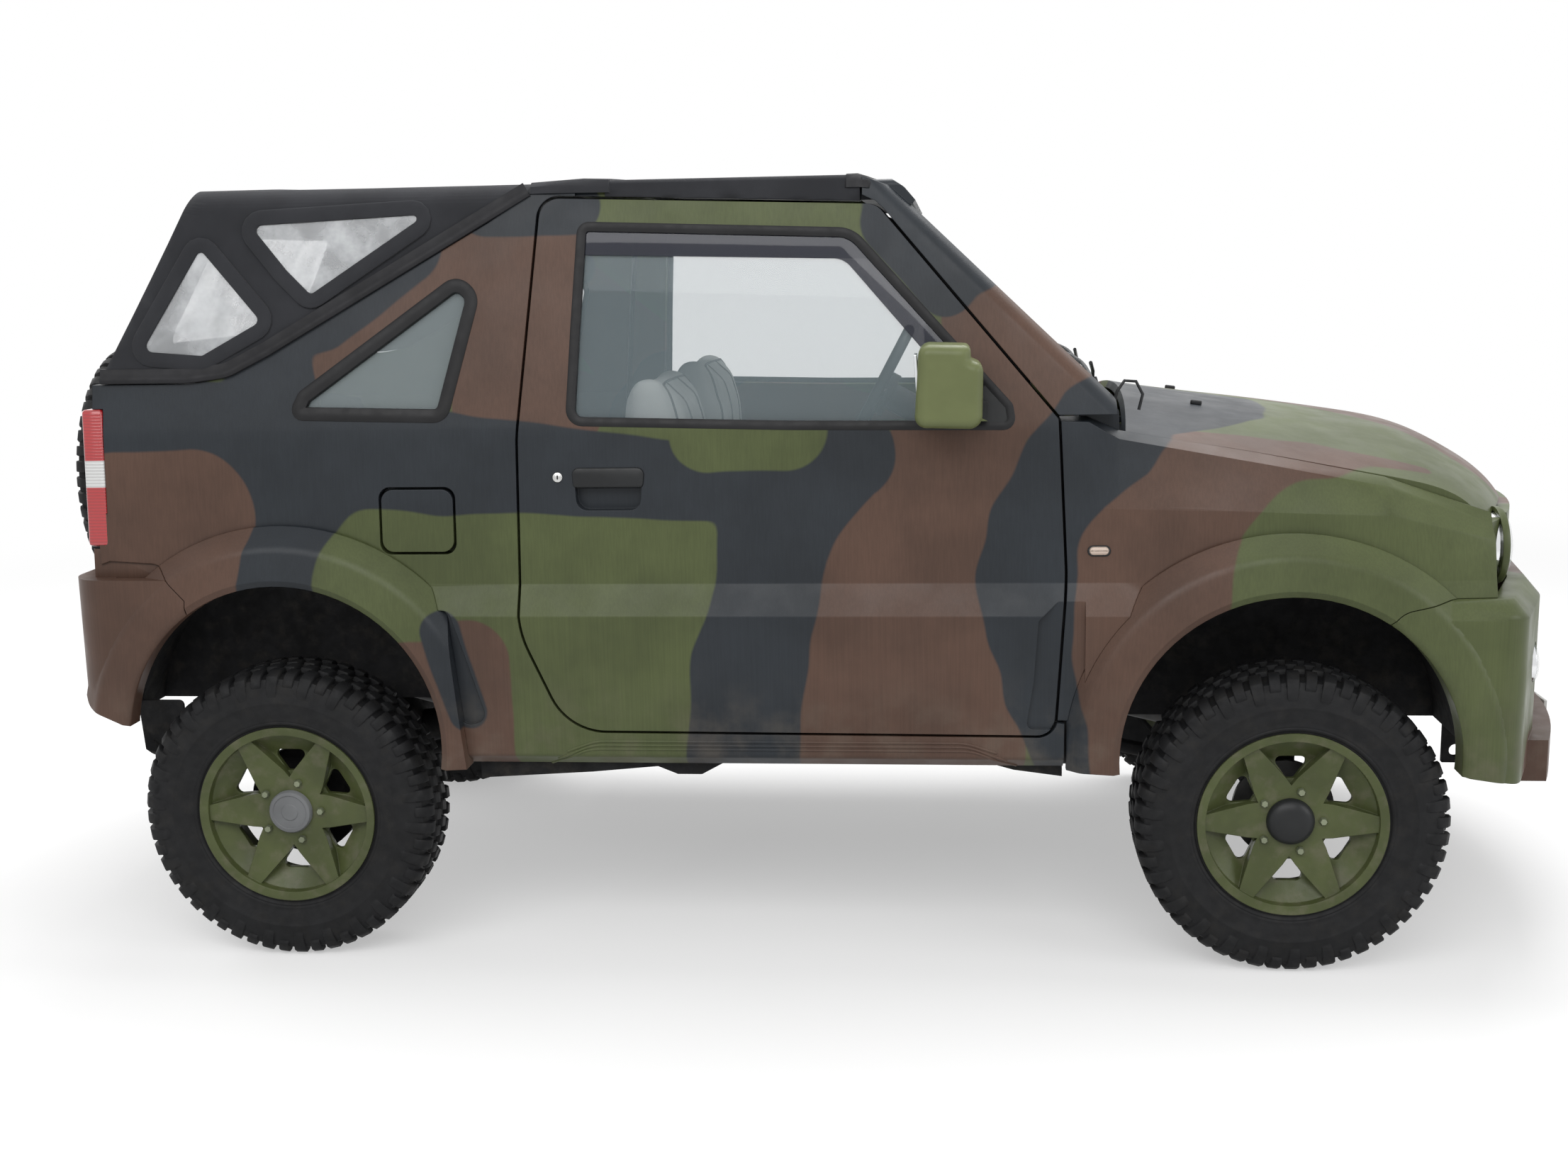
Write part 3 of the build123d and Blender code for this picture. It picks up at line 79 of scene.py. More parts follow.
def calc(tree, operation, a, b=0.0, c=0.0, clamp=False):
    return put(tree, "ShaderNodeMath", {0: a, 1: b, 2: c}, operation=operation, use_clamp=clamp).outputs[0]


def vectorCalc(tree, operation, a, b=(0, 0, 0)):
    # Vector maths: scaling takes a number as b, and a length or dot product gives a number.
    inputs = {0: a, "Scale" if operation == "SCALE" else 1: b}
    made = put(tree, "ShaderNodeVectorMath", inputs, operation=operation)
    return made.outputs["Value" if operation in ("LENGTH", "DOT_PRODUCT") else "Vector"]


def spread(tree, value, low, high, toLow=0.0, toHigh=1.0, smooth=True):
    # Maps low to high onto toLow to toHigh, held at both ends.
    inputs = {"Value": value, "From Min": low, "From Max": high, "To Min": toLow, "To Max": toHigh}
    easing = "SMOOTHSTEP" if smooth else "LINEAR"
    return put(tree, "ShaderNodeMapRange", inputs, interpolation_type=easing).outputs["Result"]


def blendColour(tree, factor, a, b, mode="MIX"):
    mixer = put(tree, "ShaderNodeMix", data_type="RGBA", blend_type=mode)
    for socket, value in ((mixer.inputs[0], factor), (mixer.inputs[6], a), (mixer.inputs[7], b)):
        if isinstance(value, bpy.types.NodeSocket):
            tree.links.new(value, socket)
        else:
            socket.default_value = value if not hasattr(value, "__len__") or len(value) == 4 else (*value, 1)
    return mixer.outputs[2]


def cloud(tree, place, scale, detail=3.0, rough=0.55, distortion=0.0):
    inputs = {"Vector": place, "Scale": scale, "Detail": detail, "Roughness": rough, "Distortion": distortion}
    return put(tree, "ShaderNodeTexNoise", inputs).outputs["Fac"]


def mottled(tree, patches, low, high, colour, vary):
    # The colour, darker and lighter by the share vary in soft patches.
    darker, lighter = [c * (1 - vary) for c in colour], [c * (1 + vary) for c in colour]
    return blendColour(tree, spread(tree, patches, low, high), darker, lighter)


def material(name, colour, rough=0.5, metallic=0.0, specular=0.5, alpha=1.0):
    made = bpy.data.materials.new(name)
    made.use_nodes = True
    surface = made.node_tree.nodes["Principled BSDF"]
    surface.inputs["Base Color"].default_value = (*colour, 1)
    surface.inputs["Roughness"].default_value = rough
    surface.inputs["Metallic"].default_value = metallic
    surface.inputs["Specular IOR Level"].default_value = specular
    surface.inputs["Alpha"].default_value = alpha
    return made, made.node_tree, surface


def objectPlace(tree):
    return put(tree, "ShaderNodeTexCoord").outputs["Object"]


def bump(tree, surface, height, strength, distance, edge=0.0):
    inputs = {"Height": height, "Strength": strength, "Distance": distance}
    if edge:
        inputs["Normal"] = put(tree, "ShaderNodeBevel", {"Radius": edge}, samples=6).outputs[0]
    made = put(tree, "ShaderNodeBump", inputs)
    tree.links.new(made.outputs[0], surface.inputs["Normal"])


roadDust = (0.19, 0.165, 0.13)


def plainFinish(name, colour, rough, vary, grain, bumpDepth, metallic=0.0, edge=0.0015, dust=0.0):
    # A finish with mottled colour, uneven gloss and a fine grain.
    made, tree, surface = material(name, colour, rough, metallic, 0.25)
    place = objectPlace(tree)
    tone = mottled(tree, cloud(tree, place, 9.0), 0.35, 0.7, colour, vary)
    if dust:
        specks = calc(tree, "MULTIPLY", spread(tree, cloud(tree, place, 26.0, 5.0), 0.45, 0.75), dust)
        tone = blendColour(tree, specks, tone, roadDust)
    tree.links.new(tone, surface.inputs["Base Color"])
    gloss = spread(tree, cloud(tree, place, 40.0), 0.3, 0.7, rough - 0.06, rough + 0.08)
    tree.links.new(gloss, surface.inputs["Roughness"])
    bump(tree, surface, cloud(tree, place, grain, 2.0), 0.35, bumpDepth, edge)
    return made


# Camouflage: patches laid out on the right side (x from the rear axle, height), each a
# chain of round brush stops. They run round the car by sliding along x with y.
camouflage = {
    "green": (0.071, 0.086, 0.034),
    "brown": (0.086, 0.049, 0.035),
    "black": (0.019, 0.023, 0.028),
    "edge": 0.0035,  # half the width of the soft edge between two tones
    "blend": 0.05,  # how far two brush strokes run together
    "waver": 0.014,
    "sideY": 0.6,  # where the sides turn over to the top
    "slide": 1.15,  # how far the pattern slides along from one side to the other
    "lift": 0.8,  # how far it climbs from a side to the middle
    "gloss": (0.34, 0.46),
    "patchTone": (0.86, 1.16),
    "rollerTone": (0.94, 1.06),
    "rollerScale": (260, 260, 4),
    "dust": (0.17, 0.145, 0.115, 1),
    "dustHeights": (0.42, 0.72),
    "dustMost": 0.34,
    "brownStrokes": (
        ((0.13, 1.37, 0.06), (0.461, 1.554, 0.105), (0.552, 1.612, 0.101), (0.544, 1.27, 0.127)),
        ((0.644, 1.593, 0.094), (0.647, 1.252, 0.102)),
        ((-0.50, 0.60, 0.30), (-0.142, 0.917, 0.13)),
        ((0.319, 0.668, 0.082), (0.366, 0.473, 0.101)),
        ((0.442, 0.704, 0.093), (0.429, 0.465, 0.112)),
        ((1.515, 1.098, 0.166), (1.422, 0.842, 0.253), (1.42, 0.49, 0.257)),
        ((1.545, 1.435, 0.057), (1.719, 1.24, 0.077)),
        ((1.60, 1.50, 0.07), (1.82, 1.31, 0.08)),
        ((1.955, 1.028, 0.172), (1.91, 0.79, 0.182), (1.882, 0.458, 0.152)),
        ((1.992, 1.123, 0.086), (2.319, 1.15, 0.058), (2.555, 1.121, 0.019)),
        ((2.05, 1.0, 0.08), (2.15, 1.12, 0.08)),
        ((2.95, 1.33, 0.14), (3.15, 1.66, 0.18)),
        ((3.02, 0.95, 0.15), (3.08, 0.45, 0.22)),
        ((3.98, 0.98, 0.16), (4.02, 0.5, 0.2)),
        ((-0.1, 1.75, 0.2), (0.25, 1.95, 0.2)),
    ),
    "blackStrokes": (
        ((-0.344, 1.198, 0.149), (0.388, 1.139, 0.109), (0.988, 1.093, 0.086)),
        ((-0.001, 1.348, 0.098), (0.029, 1.261, 0.09)),
        ((1.289, 1.151, 0.104), (1.152, 1.064, 0.143), (1.123, 0.947, 0.113), (1.109, 0.843, 0.107),
         (1.069, 0.684, 0.12), (1.048, 0.451, 0.128)),
        ((1.841, 1.186, 0.124), (1.764, 1.11, 0.102), (1.691, 0.996, 0.091), (1.673, 0.876, 0.099),
         (1.682, 0.773, 0.087), (1.707, 0.633, 0.074), (1.738, 0.545, 0.061), (1.758, 0.439, 0.056)),
        ((1.39, 1.638, 0.071), (1.499, 1.503, 0.064)),
        ((1.44, 1.67, 0.07), (1.57, 1.56, 0.07)),
        ((0.493, 1.695, 0.07), (0.694, 1.69, 0.059)),
        ((0.035, 0.985, 0.085), (0.015, 0.841, 0.09)),
        ((0.06, 0.98, 0.06), (0.16, 1.1, 0.06)),
        ((0.386, 0.773, 0.043), (0.437, 0.585, 0.04)),
        ((1.95, 1.26, 0.1), (2.3, 1.5, 0.12), (2.75, 1.75, 0.1)),
        ((3.45, 1.15, 0.14), (3.38, 0.8, 0.12), (3.5, 0.4, 0.13)),
        ((0.3, 1.62, 0.1), (0.1, 1.5, 0.12)),
        ((1.36, 1.77, 0.085), (1.65, 2.15, 0.2), (2.25, 2.15, 0.2), (2.52, 1.77, 0.085)),
    ),
    "brownOver": (
        ((-0.359, 1.03, 0.139), (-0.189, 1.023, 0.149)),
        ((2.84, 0.43, 0.09), (3.10, 0.66, 0.12), (3.52, 0.90, 0.13), (3.90, 0.66, 0.12), (3.98, 0.43, 0.09)),
    ),
    "greenOver": (((0.992, 1.206, 0.096), (1.15, 1.205, 0.095)),),
}


def brushGroup():
    # Signed distance from a point to one brush stroke whose ends may differ in radius.
    group = bpy.data.node_groups.new("brushStroke", "ShaderNodeTree")
    for name in ("Place", "Start", "End"):
        group.interface.new_socket(name, in_out="INPUT", socket_type="NodeSocketVector")
    for name in ("Start Radius", "End Radius"):
        group.interface.new_socket(name, in_out="INPUT", socket_type="NodeSocketFloat")
    group.interface.new_socket("Distance", in_out="OUTPUT", socket_type="NodeSocketFloat")
    given = put(group, "NodeGroupInput").outputs
    fromStart = vectorCalc(group, "SUBTRACT", given["Place"], given["Start"])
    along = vectorCalc(group, "SUBTRACT", given["End"], given["Start"])
    share = calc(group, "DIVIDE", vectorCalc(group, "DOT_PRODUCT", fromStart, along),
                 vectorCalc(group, "DOT_PRODUCT", along, along), clamp=True)
    gap = vectorCalc(group, "SUBTRACT", fromStart, vectorCalc(group, "SCALE", along, share))
    growth = calc(group, "SUBTRACT", given["End Radius"], given["Start Radius"])
    radius = calc(group, "MULTIPLY_ADD", growth, share, given["Start Radius"])
    distance = calc(group, "SUBTRACT", vectorCalc(group, "LENGTH", gap), radius)
    put(group, "NodeGroupOutput", {"Distance": distance})
    return group


brush = brushGroup()


def strokesField(tree, place, strokes):
    # Distance to the nearest of some strokes, below zero inside.
    field = None
    for stops in strokes:
        for start, end in zip(stops, stops[1:]):
            inputs = {"Place": place, "Start": (*start[:2], 0), "End": (*end[:2], 0),
                      "Start Radius": start[2], "End Radius": end[2]}
            found = put(tree, "ShaderNodeGroup", inputs, node_tree=brush).outputs["Distance"]
            field = found if field is None else calc(tree, "SMOOTH_MIN", field, found, camouflage["blend"])
    return field


def camouflagePaint():
    made, tree, surface = material("camouflagePaint", camouflage["green"], 0.4, specular=0.25)
    place = objectPlace(tree)
    parts = put(tree, "ShaderNodeSeparateXYZ", {0: place}).outputs
    sideY = camouflage["sideY"]
    slide = spread(tree, parts["Y"], -sideY, sideY, 0.0, camouflage["slide"])
    inward = calc(tree, "MAXIMUM", calc(tree, "SUBTRACT", sideY, calc(tree, "ABSOLUTE", parts["Y"])), 0.0)
    u = calc(tree, "ADD", calc(tree, "SUBTRACT", parts["X"], rearAxleX), slide)
    v = calc(tree, "MULTIPLY_ADD", inward, camouflage["lift"], parts["Z"])
    flat = put(tree, "ShaderNodeCombineXYZ", {"X": u, "Y": v, "Z": 0.0}).outputs[0]
    waver = put(tree, "ShaderNodeTexNoise", {"Vector": flat, "Scale": 3.2, "Detail": 2.0}).outputs["Color"]
    waver = vectorCalc(tree, "SUBTRACT", waver, (0.5, 0.5, 0.5))
    spot = vectorCalc(tree, "ADD", flat, vectorCalc(tree, "SCALE", waver, camouflage["waver"] * 2))
    colour = (*camouflage["green"], 1)
    layers = (("brown", "brownStrokes"), ("black", "blackStrokes"), ("brown", "brownOver"), ("green", "greenOver"))
    for tone, strokes in layers:
        field = strokesField(tree, spot, camouflage[strokes])
        mask = spread(tree, field, -camouflage["edge"], camouflage["edge"], 1.0, 0.0)
        colour = blendColour(tree, mask, colour, (*camouflage[tone], 1))
    # weathering: uneven tone, faint vertical roller marks, dust low on the sides
    patches = spread(tree, cloud(tree, place, 5.0, 4.0), 0.3, 0.72, *camouflage["patchTone"])
    stretched = vectorCalc(tree, "MULTIPLY", place, camouflage["rollerScale"])
    streaks = spread(tree, cloud(tree, stretched, 1.0, 3.0), 0.3, 0.7, *camouflage["rollerTone"])
    shaded = vectorCalc(tree, "SCALE", colour, calc(tree, "MULTIPLY", patches, streaks))
    low = spread(tree, parts["Z"], *camouflage["dustHeights"], 1.0, 0.0)
    specks = spread(tree, cloud(tree, place, 14.0, 6.0), 0.4, 0.75, 0.0, camouflage["dustMost"])
    dust = calc(tree, "MULTIPLY", low, specks)
    tree.links.new(blendColour(tree, dust, shaded, camouflage["dust"]), surface.inputs["Base Color"])
    gloss = spread(tree, cloud(tree, place, 11.0, 4.0), 0.3, 0.7, *camouflage["gloss"])
    tree.links.new(calc(tree, "MULTIPLY_ADD", dust, 0.5, gloss), surface.inputs["Roughness"])
    bump(tree, surface, cloud(tree, place, 420.0, 2.0), 0.18, 0.0006, 0.0028)
    return made


def woven(name, colour, thread, rough=0.85, vary=0.2, depth=0.0006):
    # Woven cloth: two crossing thread waves on Object coordinates.
    made, tree, surface = material(name, colour, rough, specular=0.15)
    place = objectPlace(tree)
    parts = put(tree, "ShaderNodeSeparateXYZ", {0: place}).outputs
    turns = 2 * math.pi / thread
    warp = calc(tree, "SINE", calc(tree, "MULTIPLY", parts["X"], turns))
    across = calc(tree, "ADD", parts["Y"], parts["Z"])
    weft = calc(tree, "SINE", calc(tree, "MULTIPLY", across, turns))
    weave = calc(tree, "MULTIPLY", warp, weft)
    tone = mottled(tree, cloud(tree, place, 7.0, 5.0), 0.3, 0.72, colour, vary)
    tone = blendColour(tree, spread(tree, weave, -1, 1, 0.0, 0.3), tone, [c * 1.9 for c in colour])
    tree.links.new(tone, surface.inputs["Base Color"])
    surface.inputs["Sheen Weight"].default_value = 0.08
    surface.inputs["Sheen Roughness"].default_value = 0.5
    bump(tree, surface, weave, 0.5, depth)
    return made


def clearSheet(name, colour, alpha, rough, ripple=0.0):
    # Glass, or with a ripple a clear plastic pane that is hazy in places.
    made, tree, surface = material(name, colour, rough, alpha=alpha)
    surface.inputs["IOR"].default_value = 1.5
    if ripple:
        place = objectPlace(tree)
        haze = spread(tree, cloud(tree, place, 12.0, 4.0), 0.3, 0.75, alpha * 0.7, alpha * 1.6)
        tree.links.new(haze, surface.inputs["Alpha"])
        bump(tree, surface, cloud(tree, place, 6.0, 2.0, 0.5, 0.8), 0.6, ripple)
    return made


tailLamp = {
    # the dark red below is painted shade for the grooves between the lens ribs
    "red": (0.46, 0.012, 0.016), "white": (0.72, 0.73, 0.72), "grooveShade": (0.05, 0.005, 0.005),
    "whiteFrom": 1.088, "whiteTo": 1.148, "ribs": 900.0, "edge": 0.009,
    "outerLow": (0.868, 0.741), "lean": 0.0653,  # its outer side leans in with the wall
}


def lensFinish(name):
    # Tail lamp: red with a white block in its middle, ribbed across, with painted shade in the grooves between the
    # ribs.
    made, tree, surface = material(name, tailLamp["red"], 0.12)
    height = put(tree, "ShaderNodeSeparateXYZ", {0: objectPlace(tree)}).outputs["Z"]
    above = spread(tree, height, tailLamp["whiteFrom"] - 0.001, tailLamp["whiteFrom"] + 0.001)
    below = spread(tree, height, tailLamp["whiteTo"] - 0.001, tailLamp["whiteTo"] + 0.001, 1.0, 0.0)
    colour = blendColour(tree, calc(tree, "MULTIPLY", above, below), tailLamp["red"], tailLamp["white"])
    ribs = calc(tree, "SINE", calc(tree, "MULTIPLY", height, tailLamp["ribs"]))
    # painted shade: the colour darkens in the rib grooves
    shade = blendColour(tree, spread(tree, ribs, -1, 1, 0.0, 0.25), colour, tailLamp["grooveShade"])
    tree.links.new(shade, surface.inputs["Base Color"])
    surface.inputs["Coat Weight"].default_value = 1.0
    surface.inputs["Coat Roughness"].default_value = 0.04
    bump(tree, surface, ribs, 0.3, 0.0008)
    return made


def meshFinish(name, pitch):
    # Punched black sheet: rows of round holes painted darker than the sheet, painted shade standing for the holes.
    made, tree, surface = material(name, (0.012, 0.012, 0.013), 0.5)
    parts = put(tree, "ShaderNodeSeparateXYZ", {0: objectPlace(tree)}).outputs
    waves = [calc(tree, "SINE", calc(tree, "MULTIPLY", parts[axis], 2 * math.pi / pitch)) for axis in ("Y", "Z")]
    holes = calc(tree, "MULTIPLY", waves[0], waves[1])
    # painted shade: the holes are darker spots in the colour, not openings
    tone = blendColour(tree, spread(tree, holes, -0.3, 0.3), (0.002, 0.002, 0.002), (0.024, 0.024, 0.026))
    tree.links.new(tone, surface.inputs["Base Color"])
    bump(tree, surface, holes, 0.8, 0.002)
    return made


plainLooks = {  # colour, roughness, how much it varies, grain, depth of grain, metallic, edge, dust
    "rimPaint": ((0.072, 0.086, 0.032), 0.34, 0.14, 300.0, 0.0005, 0.0, 0.003, 0.3),
    # the mirrors' paint: a lighter green than the body's, painted light for their lit faces
    "mirrorPaint": ((0.135, 0.155, 0.066), 0.36, 0.06, 420.0, 0.0003, 0.0, 0.002),
    "seal": ((0.012, 0.012, 0.013), 0.5, 0.2, 500.0, 0.0003),
    "blackPlastic": ((0.016, 0.017, 0.018), 0.4, 0.15, 900.0, 0.0003),
    "underbody": ((0.010, 0.010, 0.011), 0.75, 0.3, 120.0, 0.002, 0.0, 0.0015, 0.1),
    "metal": ((0.09, 0.09, 0.09), 0.5, 0.25, 200.0, 0.0008, 0.6, 0.0015, 0.15),
    "nutMetal": ((0.20, 0.22, 0.15), 0.35, 0.15, 300.0, 0.0003, 0.6),
    "drum": ((0.035, 0.034, 0.033), 0.6, 0.25, 200.0, 0.0008, 0.4, 0.0015, 0.25),
    "brightMetal": ((0.55, 0.55, 0.54), 0.28, 0.1, 400.0, 0.0002, 1.0),
    "greyCap": ((0.16, 0.165, 0.17), 0.5, 0.12, 300.0, 0.0003),
    "rubber": ((0.0068, 0.007, 0.0078), 0.66, 0.2, 260.0, 0.0006, 0.0, 0.0015, 0.03),
    "mirrorGlass": ((0.7, 0.72, 0.74), 0.03, 0.02, 60.0, 0.0, 1.0),
    "reflector": ((0.75, 0.76, 0.77), 0.12, 0.05, 200.0, 0.0002, 1.0),
    "topTrim": ((0.016, 0.016, 0.018), 0.6, 0.2, 700.0, 0.0004),
    "seatSeam": ((0.10, 0.10, 0.10), 0.7, 0.1, 500.0, 0.0002),
    "cabin": ((0.05, 0.051, 0.053), 0.6, 0.12, 800.0, 0.0005),
    "amberLens": ((0.62, 0.5, 0.42), 0.2, 0.05, 60.0, 0.0004),
    "plate": ((0.55, 0.55, 0.53), 0.4, 0.05, 200.0, 0.0002),
}
finishes = {
    "paint": camouflagePaint(),
    "glass": clearSheet("glass", (0.42, 0.52, 0.56), 0.16, 0.02),
    "screenGlass": clearSheet("screenGlass", (0.5, 0.58, 0.6), 0.22, 0.02),
    "vinyl": clearSheet("vinyl", (0.72, 0.74, 0.76), 0.36, 0.12, 0.004),
    "lampGlass": clearSheet("lampGlass", (0.75, 0.8, 0.82), 0.2, 0.03),
    "smoke": clearSheet("smoke", (0.016, 0.019, 0.034), 0.72, 0.08),
    "topCloth": woven("topCloth", (0.030, 0.031, 0.035), 0.0022),
    "seatCloth": woven("seatCloth", (0.42, 0.43, 0.42), 0.003, 0.6, 0.08, 0.0004),
    "tailLens": lensFinish("tailLens"),
    "meshBlack": meshFinish("meshBlack", 0.012),
}
for name, look in plainLooks.items():
    finishes[name] = plainFinish(name, *look)
print("finishes made:", len(finishes))


# Mesh helpers
def keep(obj, body, finish=None, slot=None, replaces=()):
    if finish:
        obj.data.materials.clear()
        obj.data.materials.append(finishes[finish])
    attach(obj, body)
    if replaces:
        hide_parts(*replaces)
    return obj


def meshObject(name, bm, angle=32):
    data = bpy.data.meshes.new(name)
    bm.to_mesh(data)
    bm.free()
    obj = bpy.data.objects.new(name, data)
    bpy.context.scene.collection.objects.link(obj)
    if angle is not None:
        data.shade_smooth()
        data.set_sharp_from_angle(angle=math.radians(angle))
    return obj


def mergedBm(node):
    bm = bmesh.new()
    bm.from_mesh(frame["nodes"][node].data)
    bmesh.ops.remove_doubles(bm, verts=bm.verts, dist=2e-5)
    return bm


def creased(bm, angle, lengthwise):
    # Marks the edges that stay sharp; on pressed panels level creases do so from a lower angle.
    for face in bm.faces:
        face.smooth = True
    for edge in bm.edges:
        if len(edge.link_faces) == 2:
            run = edge.verts[1].co - edge.verts[0].co
            limit = lengthwise if abs(run.z) < 0.1 * run.length else angle
            edge.smooth = math.degrees(edge.calc_face_angle(0)) < limit


def smoothCopy(node, finish, slot, angle=32, lengthwise=32):
    # The node's own shape as a welded mesh, so that curved faces shade smoothly.
    bm = mergedBm(node)
    creased(bm, angle, lengthwise)
    obj = meshObject(node + "Shell", bm, None)
    obj.modifiers.new("evenShading", "WEIGHTED_NORMAL").keep_sharp = True
    return keep(obj, nodeBody[node], finish, slot, (node,))


shellFinishes = {
    "camouflage_paint": ("paint", (
        "body_side_right", "body_side_left", "body_frames", "windscreen_frame", "front_wings", "arch_flares",
        "front_panel", "front_bumper", "rear_bumper", "bonnet", "door_right", "door_left", "tailgate", "fuel_flap")),
    "rim_paint": ("rimPaint", ("rim_rear_right", "rim_rear_left", "rim_front_right", "rim_front_left", "spare_rim")),
    "driveline_metal": ("metal", ("driveline", "exhaust", "knuckle_right", "knuckle_left")),
    "black_underbody": ("underbody", ("floor_pan", "arch_liners", "ladder_frame", "axles", "fuel_tank")),
    "interior_plastic": ("cabin", ("dashboard", "steering_wheel")),
    "clear_glass": ("glass", ("door_glass_right", "door_glass_left")),
    "clear_vinyl": ("vinyl", ("top_windows",)),
}
flatPanels = ("body_side_right", "body_side_left", "windscreen_frame", "front_wings", "door_right", "door_left",
              "fuel_flap")
creaseLimits = {"flat": 2.5, "bumper": 55, "other": 32}  # degrees between two faces
mirrorSail = {"y": 0.757, "x": 1.5785}  # inside this y or ahead of this x a mirror is black
shells = {}
for slot, (finish, nodes) in shellFinishes.items():
    for node in nodes:
        limit = creaseLimits["flat" if node in flatPanels else "bumper" if node.endswith("bumper") else "other"]
        shells[node] = smoothCopy(node, finish, slot, max(limit, creaseLimits["other"]), limit)
# mirror shells in that lighter green, painted light; their inner and front faces in black plastic
for node in ("mirror_right", "mirror_left"):
    shells[node] = smoothCopy(node, "mirrorPaint", "camouflage_paint")
    shells[node].data.materials.append(finishes["blackPlastic"])
    for face in shells[node].data.polygons:
        if abs(face.center.y) < mirrorSail["y"] or face.center.x > rearAxleX + mirrorSail["x"]:
            face.material_index = 1
shells["body_glass"] = smoothCopy("body_glass", "screenGlass", "clear_glass")
print("shells made:", len(shells))


def roundedLoop(rows, step=0.01, closed=True):
    # Corner rows (x from the rear axle, height, corner radius), in mm, as even points in metres.
    corners = [(Vector((x, z)) / 1000, r / 1000) for x, z, r in rows]
    outline = []
    count = len(corners)
    for i, (corner, radius) in enumerate(corners):
        before, after = corners[i - 1][0], corners[(i + 1) % count][0]
        if radius <= 0 or (not closed and i in (0, count - 1)):
            outline.append(corner)
            continue
        toBefore, toAfter = (before - corner).normalized(), (after - corner).normalized()
        half = toBefore.angle(toAfter) / 2
        reach = min(radius / math.tan(half), (before - corner).length / 2, (after - corner).length / 2)
        radius = reach * math.tan(half)
        middle = corner + (toBefore + toAfter).normalized() * (radius / math.sin(half))
        start, end = corner + toBefore * reach, corner + toAfter * reach
        fromMiddle, toMiddle = start - middle, end - middle
        turn = fromMiddle.angle_signed(toMiddle)
        steps = max(3, int(abs(turn) * radius / step) + 2)
        for k in range(steps + 1):
            a = -turn * k / steps
            outline.append(middle + Vector((fromMiddle.x * math.cos(a) - fromMiddle.y * math.sin(a),
                                            fromMiddle.x * math.sin(a) + fromMiddle.y * math.cos(a))))
    points = []
    pairs = zip(outline, outline[1:] + outline[:1]) if closed else zip(outline, outline[1:])
    for a, b in pairs:
        pieces = max(1, int((b - a).length / step))
        points += [a.lerp(b, k / pieces) for k in range(pieces)]
    if not closed:
        points.append(outline[-1])
    return points


wallRows = ((0.455, 0.724), (0.480, 0.762), (0.799, 0.768), (0.868, 0.739), (1.205, 0.717), (1.745, 0.624))


def wallY(z):
    for (z0, y0), (z1, y1) in zip(wallRows, wallRows[1:]):
        if z <= z1:
            return y0 + (y1 - y0) * (z - z0) / (z1 - z0)
    return wallRows[-1][1]


def straight(low, high, z):
    # y on a straight wall between two (z, y) points.
    return low[1] + (high[1] - low[1]) * (z - low[0]) / (high[0] - low[0])


def topWallY(z):
    return straight((1.290, 0.708), (1.738, 0.626), z)


topBack = {"x": -0.390, "z": 1.320, "slope": 0.5215, "out": (-0.887, 0.4625)}  # the top's leaning back


def onWall(point, out, side, surface=wallY, lean=0.17):
    # A side view point moved out from the wall's surface: side is -1 for the right and 1 for
    # the left. Side 0 is the top's back, where the point counts across and up.
    if side == 0:
        x = topBack["x"] + (point.y - topBack["z"]) * topBack["slope"] + topBack["out"][0] * out
        return Vector((rearAxleX + x, point.x, point.y + topBack["out"][1] * out))
    return Vector((rearAxleX + point.x, side * (surface(point.y) + out), point.y + out * lean))


def band(name, rows, profile, side, surface=wallY, closed=True, step=0.01, angle=50, filled=False):
    # A strip along an outline: profile rows are (across, out), across counting outward.
    # Filled, its first and last rows are closed to a plate.
    loop = roundedLoop(rows, step, closed)
    count = len(loop)
    area = sum(a.x * b.y - b.x * a.y for a, b in zip(loop, loop[1:] + loop[:1]))
    bm = bmesh.new()
    rings = []
    for i, point in enumerate(loop):
        before = loop[i - 1] if closed or i else point
        after = loop[(i + 1) % count] if closed or i < count - 1 else point
        along = (after - before).normalized()
        outward = Vector((along.y, -along.x)) * (1 if area > 0 else -1)
        rings.append([
            bm.verts.new(onWall(point + outward * across, out, side, surface)) for across, out in profile])
    pairs = list(zip(rings, rings[1:])) + ([(rings[-1], rings[0])] if closed else [])
    for a, b in pairs:
        for k in range(len(profile) - 1):
            bm.faces.new((a[k], a[k + 1], b[k + 1], b[k]))
    if filled:
        bm.faces.new([ring[0] for ring in rings])
        bm.faces.new([ring[-1] for ring in rings])
    bmesh.ops.recalc_face_normals(bm, faces=bm.faces)
    return meshObject(name, bm, angle)


def slab(name, rows, out, back, side, body, finish, edge=0.002, surface=wallY, step=0.005, slot=None):
    # A closed plate on the wall with a rounded outer edge; out and back are its two faces.
    profile = ((0.0, back), (0.0, out - edge), (-0.3 * edge, out - 0.3 * edge), (-edge, out))
    return keep(band(name, rows, profile, side, surface, True, step, 40, True), body, finish, slot)


def ovalRows(x, z, halfLong, halfHigh):
    # Corner rows of a round or long button about (x, z), in mm.
    r = min(halfLong, halfHigh) - 0.01
    corners = ((-1, -1), (1, -1), (1, 1), (-1, 1))
    return tuple((x + sx * halfLong, z + sz * halfHigh, r) for sx, sz in corners)


